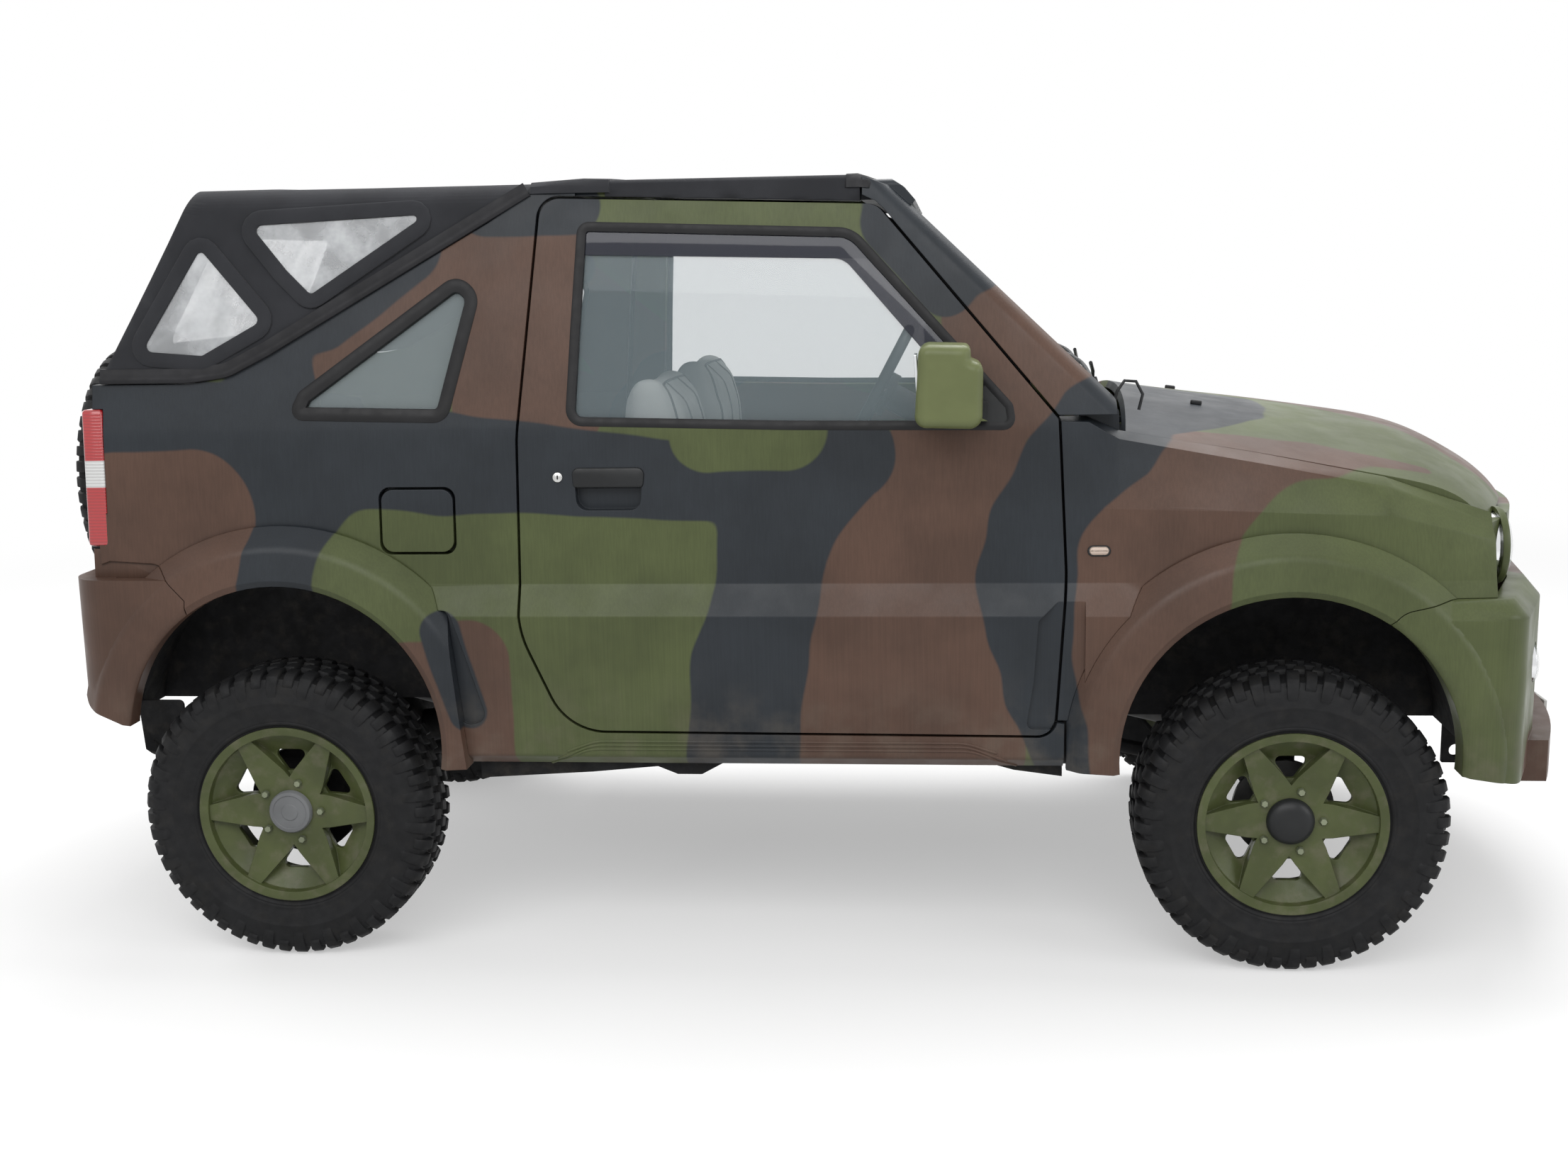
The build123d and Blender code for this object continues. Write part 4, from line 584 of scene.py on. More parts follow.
def tube(name, points, radius, body, finish, slot=None, segments=10):
    # A round bar through some points.
    curve = bpy.data.curves.new(name, "CURVE")
    curve.dimensions = "3D"
    curve.bevel_depth = radius
    curve.bevel_resolution = max(1, segments // 4)
    curve.use_fill_caps = True
    line = curve.splines.new("POLY")
    line.points.add(len(points) - 1)
    for spot, point in zip(line.points, points):
        spot.co = (*point, 1)
    holder = bpy.data.objects.new(name + "Line", curve)
    bpy.context.scene.collection.objects.link(holder)
    bpy.context.view_layer.update()
    data = bpy.data.meshes.new_from_object(holder.evaluated_get(bpy.context.evaluated_depsgraph_get()))
    bpy.data.objects.remove(holder)
    obj = bpy.data.objects.new(name, data)
    bpy.context.scene.collection.objects.link(obj)
    data.shade_smooth()
    return keep(obj, body, finish, slot)


def turnedBm(profile, steps):
    # A profile (along the axle, radius) turned about the axle.
    bm = bmesh.new()
    rings = []
    for k in range(steps):
        a = 2 * math.pi * k / steps
        rings.append([bm.verts.new((r * math.sin(a), u, r * math.cos(a))) for u, r in profile])
    for a, b in zip(rings, rings[1:] + rings[:1]):
        for k in range(len(profile) - 1):
            bm.faces.new((a[k], b[k], b[k + 1], a[k + 1]))
    bmesh.ops.remove_doubles(bm, verts=bm.verts, dist=1e-5)
    bmesh.ops.recalc_face_normals(bm, faces=bm.faces)
    return bm


# Window rubbers
doorWindow = (
    (704, 1650, 22), (688, 1430, 900), (675, 1220, 32), (1160, 1207, 2500), (1648, 1202, 30), (1640, 1250, 18),
    (1300, 1626, 70),
)
quarterWindow = ((50, 1240, 30), (400, 1231, 34), (474, 1500, 42), (430, 1540, 42), (75, 1290, 22))
seals = {
    "door": ((-0.016, -0.008), (-0.015, -0.001), (-0.009, 0.0015), (0.001, 0.0025), (0.005, 0.0005), (0.005, -0.002)),
    "quarter": ((-0.024, -0.008), (-0.022, 0.001), (-0.012, 0.004), (0.002, 0.0045), (0.007, 0.001),
                (0.007, -0.002)),
}
for side, word in ((-1, "right"), (1, "left")):
    keep(band("doorSeal" + word.title(), doorWindow, seals["door"], side), "door_" + word, "seal")
    keep(band("quarterSeal" + word.title(), quarterWindow, seals["quarter"], side), "body", "seal")
print("window rubbers made")


# Wheels: tread and shoulder lugs are set round the carcass by Geometry Nodes.
wheel = {
    "pitches": 52, "tread": 0.338, "centreZ": 0.338, "middleU": 0.683, "lugNuts": 5, "nutCircle": 0.070,
    "nutFace": -0.0525, "spareX": -0.565, "spareZ": 1.042,
}
carcass = (  # along the axle from the middle, radius
    (0.066, 0.1945), (0.078, 0.1945), (0.0815, 0.200), (0.0825, 0.209), (0.087, 0.213), (0.0885, 0.2165),
    (0.0875, 0.219), (0.0893, 0.2225), (0.0895, 0.224), (0.0892, 0.2255), (0.0915, 0.232), (0.0960, 0.250),
    (0.0975, 0.262), (0.0985, 0.2635), (0.0985, 0.2655), (0.0978, 0.268), (0.0972, 0.286), (0.0940, 0.303),
    (0.0865, 0.318), (0.070, 0.3245), (0.035, 0.3270), (0.0, 0.3278),
)
carcass = carcass + tuple((-u, r) for u, r in reversed(carcass[:-1])) + ((-0.060, 0.201), (0.060, 0.201), carcass[0])


def lug(name, section, width, skew):
    # One tread lug: its section is along the axle, radius and share of the width there.
    bm = bmesh.new()
    sides = []
    for sign in (-1, 1):
        sides.append([bm.verts.new((sign * width / 2 * share + skew * u, u, r)) for u, r, share in section])
    for a, b in zip(range(len(section)), list(range(1, len(section))) + [0]):
        bm.faces.new((sides[0][a], sides[0][b], sides[1][b], sides[1][a]))
    for ring in sides:
        bm.faces.new(ring)
    bmesh.ops.recalc_face_normals(bm, faces=bm.faces)
    sharp = [edge for edge in bm.edges if edge.calc_face_angle(0) > 0.6]
    bmesh.ops.bevel(bm, geom=sharp, offset=0.0016, segments=1, affect="EDGES", clamp_overlap=True)
    return meshObject(name, bm, 40)


crown = wheel["tread"]
lugSections = {
    "centre": ((0.004, 0.320, 1.0), (0.006, crown, 0.86), (0.038, crown - 0.0008, 0.86), (0.042, 0.318, 1.0)),
    "longShoulder": ((0.047, 0.320, 1.0), (0.049, crown - 0.0008, 0.9), (0.072, crown - 0.002, 0.9),
                     (0.0895, 0.3255, 0.9), (0.0985, 0.3005, 0.86), (0.0996, 0.284, 0.7), (0.0955, 0.276, 0.7),
                     (0.090, 0.298, 1.0), (0.070, 0.314, 1.0)),
    "shortShoulder": ((0.052, 0.320, 1.0), (0.054, crown - 0.0010, 0.9), (0.072, crown - 0.002, 0.9),
                      (0.089, 0.326, 0.9), (0.0975, 0.308, 0.8), (0.0940, 0.300, 0.9), (0.072, 0.316, 1.0)),
}


def mirrored(section):
    return tuple((-u, r, share) for u, r, share in section)


def ringTree():
    # Instances of one block, turned about the axle at even steps, joined to what comes in.
    tree = bpy.data.node_groups.new("ringOfBlocks", "GeometryNodeTree")
    sockets = {"Geometry": "Geometry", "Block": "Object", "Count": "Int", "Phase": "Float", "Finish": "Material"}
    for name, kind in sockets.items():
        tree.interface.new_socket(name, in_out="INPUT", socket_type="NodeSocket" + kind)
    tree.interface.new_socket("Geometry", in_out="OUTPUT", socket_type="NodeSocketGeometry")
    given = put(tree, "NodeGroupInput").outputs
    points = put(tree, "GeometryNodePoints", {"Count": given["Count"]}).outputs[0]
    step = calc(tree, "DIVIDE", 2 * math.pi, given["Count"])
    angle = calc(tree, "MULTIPLY_ADD", put(tree, "GeometryNodeInputIndex").outputs[0], step, given["Phase"])
    turn = put(tree, "ShaderNodeCombineXYZ", {"Y": angle}).outputs[0]
    block = put(tree, "GeometryNodeObjectInfo", {"Object": given["Block"]}).outputs["Geometry"]
    rotation = put(tree, "FunctionNodeEulerToRotation", {0: turn}).outputs[0]
    inputs = {"Points": points, "Instance": block, "Rotation": rotation}
    placed = put(tree, "GeometryNodeInstanceOnPoints", inputs).outputs[0]
    real = put(tree, "GeometryNodeRealizeInstances", {0: placed}).outputs[0]
    joined = put(tree, "GeometryNodeJoinGeometry")
    tree.links.new(given["Geometry"], joined.inputs[0])
    tree.links.new(real, joined.inputs[0])
    finished = put(tree, "GeometryNodeSetMaterial", {"Geometry": joined.outputs[0], "Material": given["Finish"]})
    put(tree, "NodeGroupOutput", {0: finished.outputs[0]})
    return tree


blockRing = ringTree()


def ringed(base, rings, finish):
    # Runs the rings on the base object and returns a plain mesh.
    sockets = {item.name: item.identifier for item in blockRing.interface.items_tree if item.in_out == "INPUT"}
    for block, count, phase in rings:
        step = base.modifiers.new("ring", "NODES")
        step.node_group = blockRing
        step[sockets["Block"]] = block
        step[sockets["Count"]] = count
        step[sockets["Phase"]] = phase
        step[sockets["Finish"]] = finishes[finish]
    bpy.context.view_layer.update()
    data = bpy.data.meshes.new_from_object(base.evaluated_get(bpy.context.evaluated_depsgraph_get()))
    base.modifiers.clear()
    bpy.data.objects.remove(base)
    return data


def dropObjects(*objs):
    for obj in objs:
        bpy.data.objects.remove(obj)


pitch = 2 * math.pi / wheel["pitches"]
half = wheel["pitches"] // 2
arc = wheel["tread"] * pitch
blocks = {
    "centre": lug("lugCentre", lugSections["centre"], arc * 0.70, 0.25),
    "outerLong": lug("lugOuterLong", mirrored(lugSections["longShoulder"]), arc * 0.74, 0.12),
    "outerShort": lug("lugOuterShort", mirrored(lugSections["shortShoulder"]), arc * 0.66, 0.12),
    "backLong": lug("lugBackLong", lugSections["longShoulder"], arc * 0.74, 0.12),
    "backShort": lug("lugBackShort", lugSections["shortShoulder"], arc * 0.66, 0.12),
}
blocks["centreBack"] = lug("lugCentreBack", mirrored(lugSections["centre"]), arc * 0.70, 0.25)
tyreBase = meshObject("tyreCarcass", turnedBm(carcass, 120), 50)
tyreData = ringed(tyreBase, (
    (blocks["centre"], wheel["pitches"], 0.0),
    (blocks["centreBack"], wheel["pitches"], pitch * 0.5),
    (blocks["outerLong"], half, 0.0),
    (blocks["outerShort"], half, pitch),
    (blocks["backLong"], half, pitch * 0.5),
    (blocks["backShort"], half, pitch * 1.5),
), "rubber")
dropObjects(*blocks.values())


def placedCopy(data, name, place, body, finish, slot=None, replaces=()):
    # A copy of a wheel's mesh in its place, turned inside out again where the place mirrors it.
    copy = data.copy()
    copy.transform(place)
    if place.determinant() < 0:
        copy.flip_normals()
    copy.set_sharp_from_angle(angle=math.radians(40))
    obj = bpy.data.objects.new(name, copy)
    bpy.context.scene.collection.objects.link(obj)
    return keep(obj, body, finish, slot, replaces)


def wheelPlace(x, side):
    # The wheel's own axes have the outer face towards -Y, as on the car's right.
    place = Matrix.Translation((rearAxleX + x, side * wheel["middleU"], wheel["centreZ"]))
    return place @ Matrix.Scale(-1, 4, (0, 1, 0)) if side > 0 else place


spareTurn = Matrix.Rotation(-math.pi / 2, 4, "Z")
sparePlace = Matrix.Translation((rearAxleX + wheel["spareX"], 0, wheel["spareZ"])) @ spareTurn
wheels = {
    "rear_right": (wheelPlace(0, -1), "wheel_rear_right"),
    "rear_left": (wheelPlace(0, 1), "wheel_rear_left"),
    "front_right": (wheelPlace(wheelbase, -1), "wheel_front_right"),
    "front_left": (wheelPlace(wheelbase, 1), "wheel_front_left"),
    "spare": (sparePlace, "tailgate"),
}
for name, (place, body) in wheels.items():
    node = "spare_tyre" if name == "spare" else "tyre_" + name
    placedCopy(tyreData, node + "Rubber", place, body, "rubber", "tyre_rubber", (node,))
print("tyres made:", len(tyreData.polygons), "faces each")

wheelParts = {  # along the axle, radius
    "nut": ((0, 0), (0, 0.0095), (-0.011, 0.0095), (-0.0145, 0.007), (-0.0145, 0)),
    "dome": ((-0.040, 0.0), (-0.040, 0.052), (-0.060, 0.052), (-0.066, 0.0505), (-0.072, 0.046), (-0.078, 0.036),
             (-0.0805, 0.024), (-0.0815, 0.012), (-0.082, 0.0)),
    "cap": ((-0.040, 0.0), (-0.040, 0.050), (-0.064, 0.050), (-0.069, 0.047), (-0.070, 0.040), (-0.068, 0.038),
            (-0.068, 0.020), (-0.070, 0.018), (-0.070, 0.0)),
}
nut = turnedBm(wheelParts["nut"], 6)
bmesh.ops.translate(nut, verts=nut.verts, vec=(0, wheel["nutFace"], wheel["nutCircle"]))
nutObject = meshObject("nut", nut, 30)
nutBase = meshObject("nutBase", bmesh.new(), None)
nutData = ringed(nutBase, ((nutObject, wheel["lugNuts"], 0.3),), "nutMetal")
dome = meshObject("dome", turnedBm(wheelParts["dome"], 48), 40)
cap = meshObject("cap", turnedBm(wheelParts["cap"], 48), 40)
for name, (place, body) in wheels.items():
    word = name.title().replace("_", "")
    placedCopy(nutData, "lugNuts" + word, place, body, "nutMetal")
    if name.startswith("front"):
        placedCopy(dome.data, "hubCap" + word, place, body, "blackPlastic")
    else:
        placedCopy(cap.data, "hubCap" + word, place, body, "greyCap")
dropObjects(nutObject, dome, cap)
print("wheels dressed")


# Door and wing fittings on both sides
doorEdge = (
    (618, 1707, 45), (564, 1190, 400), (562, 765, 230), (662, 540, 130), (1735, 534, 40), (1757, 880, 400),
    (1741, 1220, 10), (1352, 1680, 45),
)
weatherstrip = ((-0.0085, -0.040), (-0.0085, -0.027), (0.0, -0.0235), (0.0055, -0.027), (0.0055, -0.040))
fittings = {
    "grip": ((685, 1079, 10), (841, 1079, 10), (845, 1124, 16), (681, 1124, 16)),
    "keyLock": ovalRows(651, 1103, 11, 11),
    "keySlot": ovalRows(651, 1103, 1.6, 5),
    "repeater": ovalRows(1829, 937, 21, 9),
    "repeaterBase": ovalRows(1829, 937, 25, 12),
    "ribHeights": (497, 506, 515),
    "ribRadius": 0.0035,
    "deflector": (
        (706, 1584, 10), (1282, 1566, 50), (1560, 1246, 4), (1640, 1246, 4), (1302, 1624, 68), (705, 1647, 20)),
    "sillBacking": ((1728, 459, 2), (1800, 459, 2), (1800, 566, 2), (1728, 566, 2)),
    "cornerPlate": ((-424, 880, 2), (-262, 880, 2), (-262, 950, 2), (-424, 950, 2)),
    "linerSkirt": ((-362, 455, 12), (-262, 440, 12), (-262, 600, 12), (-372, 600, 12)),
}


def wingY(z):
    return straight((0.868, 0.739), (1.029, 0.728), z)


for side, word in ((-1, "Right"), (1, "Left")):
    door = "door_" + word.lower()
    keep(band("weatherstrip" + word, doorEdge, weatherstrip, side), "body", "seal")
    slab("doorGrip" + word, fittings["grip"], 0.006, -0.016, side, door, "blackPlastic", 0.006)
    slab("keyLock" + word, fittings["keyLock"], 0.004, -0.003, side, door, "brightMetal", 0.0015, step=0.002)
    slab("keySlot" + word, fittings["keySlot"], 0.0045, 0.002, side, door, "seal", 0.0005, step=0.002)
    slab("repeaterBase" + word, fittings["repeaterBase"], 0.003, -0.003, side, "body", "blackPlastic", 0.002,
         wingY, 0.003)
    slab("repeater" + word, fittings["repeater"], 0.010, 0.001, side, "body", "amberLens", 0.006, wingY, 0.003)
    slab("windDeflector" + word, fittings["deflector"], -0.0045, -0.0065, side, door, "smoke", 0.0008)
    slab("sillBacking" + word, fittings["sillBacking"], -0.022, -0.032, side, "body", "seal")
    slab("cornerPlate" + word, fittings["cornerPlate"], -0.006, -0.014, side, "body", "paint",
         slot="camouflage_paint")
    slab("linerSkirt" + word, fittings["linerSkirt"], -0.080, -0.086, side, "body", "underbody",
         slot="black_underbody")
    for k, z in enumerate(fittings["ribHeights"]):
        line = ((612 + 22 * k, z - 42 + 9 * k), (705 + 8 * k, z), (1560 - 8 * k, z), (1655 - 22 * k, z - 40 + 9 * k))
        loop = roundedLoop([(x, h, 120) for x, h in line], 0.02, False)
        points = [onWall(p, -0.0012, side) for p in loop]
        tube(f"sillRib{k}{word}", points, fittings["ribRadius"], "body", "paint", "camouflage_paint", 8)
print("side fittings made")


# Surfaces found by looking down or across at a node, for what sits on it.
lookup = {}


def surfaceAt(node, start, direction):
    if node not in lookup:
        bm = mergedBm(node)
        lookup[node] = BVHTree.FromBMesh(bm)
        bm.free()
    return lookup[node].ray_cast(Vector(start), Vector(direction))[0]


def slopedBox(name, centre, size, turn, body, finish, edge=0.004):
    # A small block with rounded edges, turned about Y by some degrees.
    bm = bmesh.new()
    bmesh.ops.create_cube(bm, size=1.0)
    bmesh.ops.scale(bm, verts=bm.verts, vec=size)
    bmesh.ops.bevel(bm, geom=bm.edges[:], offset=edge, segments=3, profile=0.6, affect="EDGES")
    place = Matrix.Translation((rearAxleX + centre[0], *centre[1:])) @ Matrix.Rotation(math.radians(turn), 4, "Y")
    bmesh.ops.transform(bm, matrix=place, verts=bm.verts)
    return keep(meshObject(name, bm, 40), body, finish)


# Wipers, washer jets and the aerial loop
screen = {
    "top": (1.428, 1.674), "down": Vector((0.7204, 0, -0.6936)), "out": Vector((0.6936, 0, 0.7204)),
    "bow": 0.012, "halfWidth": 0.68, "sunk": 0.016,
}
wiper = {
    "pivots": (0.43, -0.12), "pivotPlace": (1.860, 1.254), "hubHeight": 0.016, "rod": 0.0045, "rubber": 0.003,
    "bladeLength": 0.42, "bladeAside": 0.30, "bladeDown": 0.548, "bladeRise": 0.05,
    "bladeShares": (0, 0.2, 0.4, 0.5, 0.6, 0.8, 1), "bladeLift": 0.010, "rubberLift": 0.0035,
    "armEnd": (0.535, 0.024), "elbow": (0.004, 0, 0.018), "armFoot": (0, 0, 0.012),
}
washer = {"places": ((2.093, -0.25), (2.093, 0.25)), "size": (0.026, 0.016, 0.012), "turn": 8, "lift": 0.004}
aerial = {
    "y": -0.60, "radius": 0.0035,
    "bends": ((1868, 1240), (1874, 1268), (1890, 1292), (1915, 1290), (1930, 1262), (1922, 1228)),
}


def onScreen(y, along, out):
    # A point on the windscreen: how far across, how far down from its top edge, how far proud.
    top = Vector((rearAxleX + screen["top"][0], y, screen["top"][1]))
    bow = screen["bow"] * (1 - (y / screen["halfWidth"]) ** 2)
    return top + screen["down"] * along + screen["out"] * (out - screen["sunk"] + bow)


def bladePoint(pivotY, share, out):
    # A point along a wiper's blade, how far proud of the glass.
    y = pivotY - wiper["bladeAside"] + wiper["bladeLength"] * (share - 0.5)
    return onScreen(y, wiper["bladeDown"] - wiper["bladeRise"] * share, out)


for k, pivotY in enumerate(wiper["pivots"]):
    pivot = Vector((rearAxleX + wiper["pivotPlace"][0], pivotY, wiper["pivotPlace"][1]))
    high = wiper["hubHeight"]
    hub = turnedBm(((-high, 0.0), (-high, 0.010), (-0.004, 0.014), (high, 0.014), (high, 0.0)), 20)
    upright = Matrix.Translation(pivot) @ Matrix.Rotation(-math.pi / 2, 4, "X")
    bmesh.ops.transform(hub, matrix=upright, verts=hub.verts)
    keep(meshObject(f"wiperHub{k}", hub, 40), "body", "blackPlastic")
    lift = wiper["bladeLift"]
    middle = onScreen(pivotY - wiper["bladeAside"], *wiper["armEnd"])
    elbow = pivot.lerp(middle, 0.3) + Vector(wiper["elbow"])
    arm = [pivot + Vector(wiper["armFoot"]), elbow, middle + screen["out"] * lift]
    tube(f"wiperArm{k}", arm, wiper["rod"], "body", "blackPlastic")
    blade = [bladePoint(pivotY, share, lift + lift * math.sin(math.pi * share)) for share in wiper["bladeShares"]]
    tube(f"wiperBlade{k}", blade, wiper["rod"], "body", "blackPlastic")
    edge = [bladePoint(pivotY, share, wiper["rubberLift"]) for share in (0, 1)]
    tube(f"wiperRubber{k}", edge, wiper["rubber"], "body", "seal")
for k, (x, y) in enumerate(washer["places"]):
    spot = surfaceAt("bonnet", (rearAxleX + x, y, 2.0), (0, 0, -1))
    centre = (x, y, spot.z + washer["lift"])
    slopedBox(f"washerJet{k}", centre, washer["size"], washer["turn"], "bonnet", "blackPlastic")
bends = [Vector((rearAxleX + x / 1000, aerial["y"], z / 1000)) for x, z in aerial["bends"]]
tube("aerialLoop", bends, aerial["radius"], "body", "blackPlastic")
print("windscreen fittings made")


# Nose: mesh behind the slots, head lamps and fog lamps; then the tail lamps and blank plates
nose = {
    "meshX": 2.812, "bow": 0.176, "bowHalf": 0.64, "meshHalf": 0.36, "meshStep": 0.018, "meshHeights": (0.84, 0.975),
    "meshThick": 0.004, "headLamp": (2.712, 0.52, 0.912), "fogLamp": (2.796, 0.56, 0.655),
}
headParts = (  # name, finish, slot, profile: forward, radius
    ("headReflector", "reflector", None, (
        (-0.052, 0), (-0.050, 0.022), (-0.036, 0.046), (-0.010, 0.066), (0.004, 0.072), (0.004, 0.0755),
        (-0.052, 0.0755), (-0.060, 0.04), (-0.060, 0))),
    ("headBulb", "brightMetal", None, ((-0.050, 0), (-0.050, 0.012), (-0.020, 0.012), (-0.014, 0.008), (-0.012, 0))),
    ("headGlass", "lampGlass", None, (
        (0.005, 0.0755), (0.016, 0.0745), (0.024, 0.066), (0.031, 0.045), (0.034, 0.02), (0.035, 0), (0.031, 0),
        (0.030, 0.02), (0.027, 0.044), (0.020, 0.064), (0.013, 0.070), (0.005, 0.0715), (0.005, 0.0755))),
    ("headBezel", "paint", "camouflage_paint", (
        (-0.002, 0.0765), (0.010, 0.0765), (0.014, 0.079), (0.014, 0.084), (0.008, 0.087), (-0.002, 0.087),
        (-0.002, 0.0765))),
)
fogParts = (
    ("fogBowl", "reflector", None, (
        (-0.05, 0), (-0.048, 0.02), (-0.02, 0.038), (0.0, 0.0405), (0.0, 0.044), (-0.055, 0.044), (-0.055, 0))),
    ("fogGlass", "lampGlass", None, (
        (0.0, 0.0435), (0.006, 0.042), (0.010, 0.03), (0.012, 0.0), (0.009, 0.0), (0.007, 0.029), (0.003, 0.040),
        (0.0, 0.0405), (0.0, 0.0435))),
)


def turnedAhead(name, profile, centre, body, finish, slot, steps):
    # A profile (forward, radius) turned about a line that points forward.
    bm = turnedBm([(-u, r) for u, r in profile], steps)
    place = Matrix.Translation(centre) @ Matrix.Rotation(math.pi / 2, 4, "Z")
    bmesh.ops.transform(bm, matrix=place, verts=bm.verts)
    bmesh.ops.recalc_face_normals(bm, faces=bm.faces)
    return keep(meshObject(name, bm, 35), body, finish, slot)


grille = bmesh.new()
grilleRows = []
low, high = nose["meshHeights"]
for k in range(round(2 * nose["meshHalf"] / nose["meshStep"]) + 1):
    y = -nose["meshHalf"] + nose["meshStep"] * k
    x = rearAxleX + nose["meshX"] - nose["bow"] * (y / nose["bowHalf"]) ** 2
    corners = ((low, 0), (high, 0), (high, nose["meshThick"]), (low, nose["meshThick"]))
    grilleRows.append([grille.verts.new((x - back, y, z)) for z, back in corners])
for a, b in zip(grilleRows, grilleRows[1:]):
    for k in range(4):
        grille.faces.new((a[k], b[k], b[(k + 1) % 4], a[(k + 1) % 4]))
for row in (grilleRows[0], grilleRows[-1]):
    grille.faces.new(row)
bmesh.ops.recalc_face_normals(grille, faces=grille.faces)
keep(meshObject("grilleMesh", grille, 40), "body", "meshBlack")
for side, word in ((-1, "Right"), (1, "Left")):
    for (x, y, z), parts, steps in ((nose["headLamp"], headParts, 48), (nose["fogLamp"], fogParts, 36)):
        for part, finish, slot, profile in parts:
            turnedAhead(part + word, profile, Vector((rearAxleX + x, side * y, z)), "body", finish, slot, steps)
    tail = mergedBm("lamps")
    others = [v for v in tail.verts if v.co.x > 0 or v.co.y * side < 0]
    bmesh.ops.delete(tail, geom=others, context="VERTS")
    bmesh.ops.dissolve_limit(tail, angle_limit=0.02, verts=tail.verts, edges=tail.edges)
    lowZ, lowY = tailLamp["outerLow"]
    for v in tail.verts:
        if abs(v.co.y) > 0.70:
            v.co.y = side * (lowY - tailLamp["lean"] * (v.co.z - lowZ))
    bmesh.ops.bevel(tail, geom=tail.edges[:], offset=tailLamp["edge"], segments=4, profile=0.55, affect="EDGES",
                    clamp_overlap=True)
    keep(meshObject("tailLamp" + word, tail, 40), "body", "tailLens", "lamp_lens", ("lamps",) if side < 0 else ())
plates = {  # centre, size
    "frontPlate": ((2.951, 0, 0.440), (0.008, 0.42, 0.080)),
    "rearPlate": ((-0.505, 0.40, 0.625), (0.006, 0.32, 0.12)),
}
for name, (centre, size) in plates.items():
    slopedBox(name, centre, size, 0, "body", "plate", 0.002)
print("nose and lamps made")


# Tailgate grip, door mirrors' glass, coil springs with dampers
gateGrips = {  # centre, size, rounding
    "gateGrip": ((-0.424, 0.49, 1.07), (0.022, 0.034, 0.15), 0.007),
    "gateGripBase": ((-0.416, 0.49, 1.07), (0.006, 0.056, 0.18), 0.002),
}
for name, (centre, size, edge) in gateGrips.items():
    slopedBox(name, centre, size, 0, "tailgate", "blackPlastic", edge)
mirror = {"x": 1.4425, "y": 0.828, "z": 1.303, "size": (0.006, 0.090, 0.130), "turn": -3.3}
for side, word in ((-1, "Right"), (1, "Left")):
    door = "door_" + word.lower()
    centre = (mirror["x"], side * mirror["y"], mirror["z"])
    slopedBox("mirrorGlass" + word, centre, mirror["size"], mirror["turn"], door, "mirrorGlass", 0.0015)


def islandsOf(bm):
    # The verts of each separate piece of a mesh.
    left = set(bm.verts)
    while left:
        group, queue = set(), [left.pop()]
        while queue:
            vert = queue.pop()
            group.add(vert)
            for edge in vert.link_edges:
                other = edge.other_vert(vert)
                if other in left:
                    left.discard(other)
                    queue.append(other)
        yield group


linksBm = mergedBm("suspension")
for group in list(islandsOf(linksBm)):
    heights = [v.co.z for v in group]
    lengths = [v.co.x for v in group]
    if max(lengths) - min(lengths) < 0.1 and max(heights) - min(heights) > 0.12:
        bmesh.ops.delete(linksBm, geom=list(group), context="VERTS")
keep(meshObject("suspensionLinks", linksBm, 32), "body", "underbody", "black_underbody", ("suspension",))
springs = {
    "turns": 6.5, "radius": 0.052, "wire": 0.0065, "y": 0.350, "foot": 0.385, "tops": (0.645, 0.597), "turnSteps": 20,
    "damper": 0.021, "rod": 0.007, "damperTop": 0.14, "damperFoot": 0.02, "rodTop": 0.01,
}
for x, top, word in ((0.0, springs["tops"][0], "Rear"), (wheelbase, springs["tops"][1], "Front")):
    for side, hand in ((-1, "Right"), (1, "Left")):
        foot = springs["foot"]
        axis = Vector((rearAxleX + x, side * springs["y"], 0))
        steps = int(springs["turns"] * springs["turnSteps"])
        points = []
        for k in range(steps + 1):
            angle = 2 * math.pi * k / springs["turnSteps"]
            around = Vector((math.cos(angle), math.sin(angle), 0)) * springs["radius"]
            points.append(axis + around + Vector((0, 0, foot + (top - foot) * k / steps)))
        tube(f"coil{word}{hand}", points, springs["wire"], "body", "drum", None, 8)
        middle = foot + springs["damperTop"]
        line = [axis + Vector((0, 0, z)) for z in (foot - springs["damperFoot"], middle)]
        tube(f"damper{word}{hand}", line, springs["damper"], "body", "metal", None, 16)
        line = [axis + Vector((0, 0, z)) for z in (middle, top + springs["rodTop"])]
        tube(f"damperRod{word}{hand}", line, springs["rod"], "body", "brightMetal", None, 12)
print("springs made")


# Soft top: the node's shell cut finely, then drawn in between its frame points.
softTop = {
    "cell": 0.028, "sideSag": 0.006, "roofSag": 0.010, "wrinkle": 0.0022, "strapSteps": 90, "roofAbove": 1.735,
    "sidesAbove": 1.33, "rearBay": (-0.17, 0.86), "frontBay": (0.76, 0.56), "roofHalf": 0.6, "sideSpan": (1.32, 0.42),
}


def bulge(share):
    # 0 at both ends of a span and 1 at its middle.
    return math.sin(math.pi * min(max(share, 0), 1))


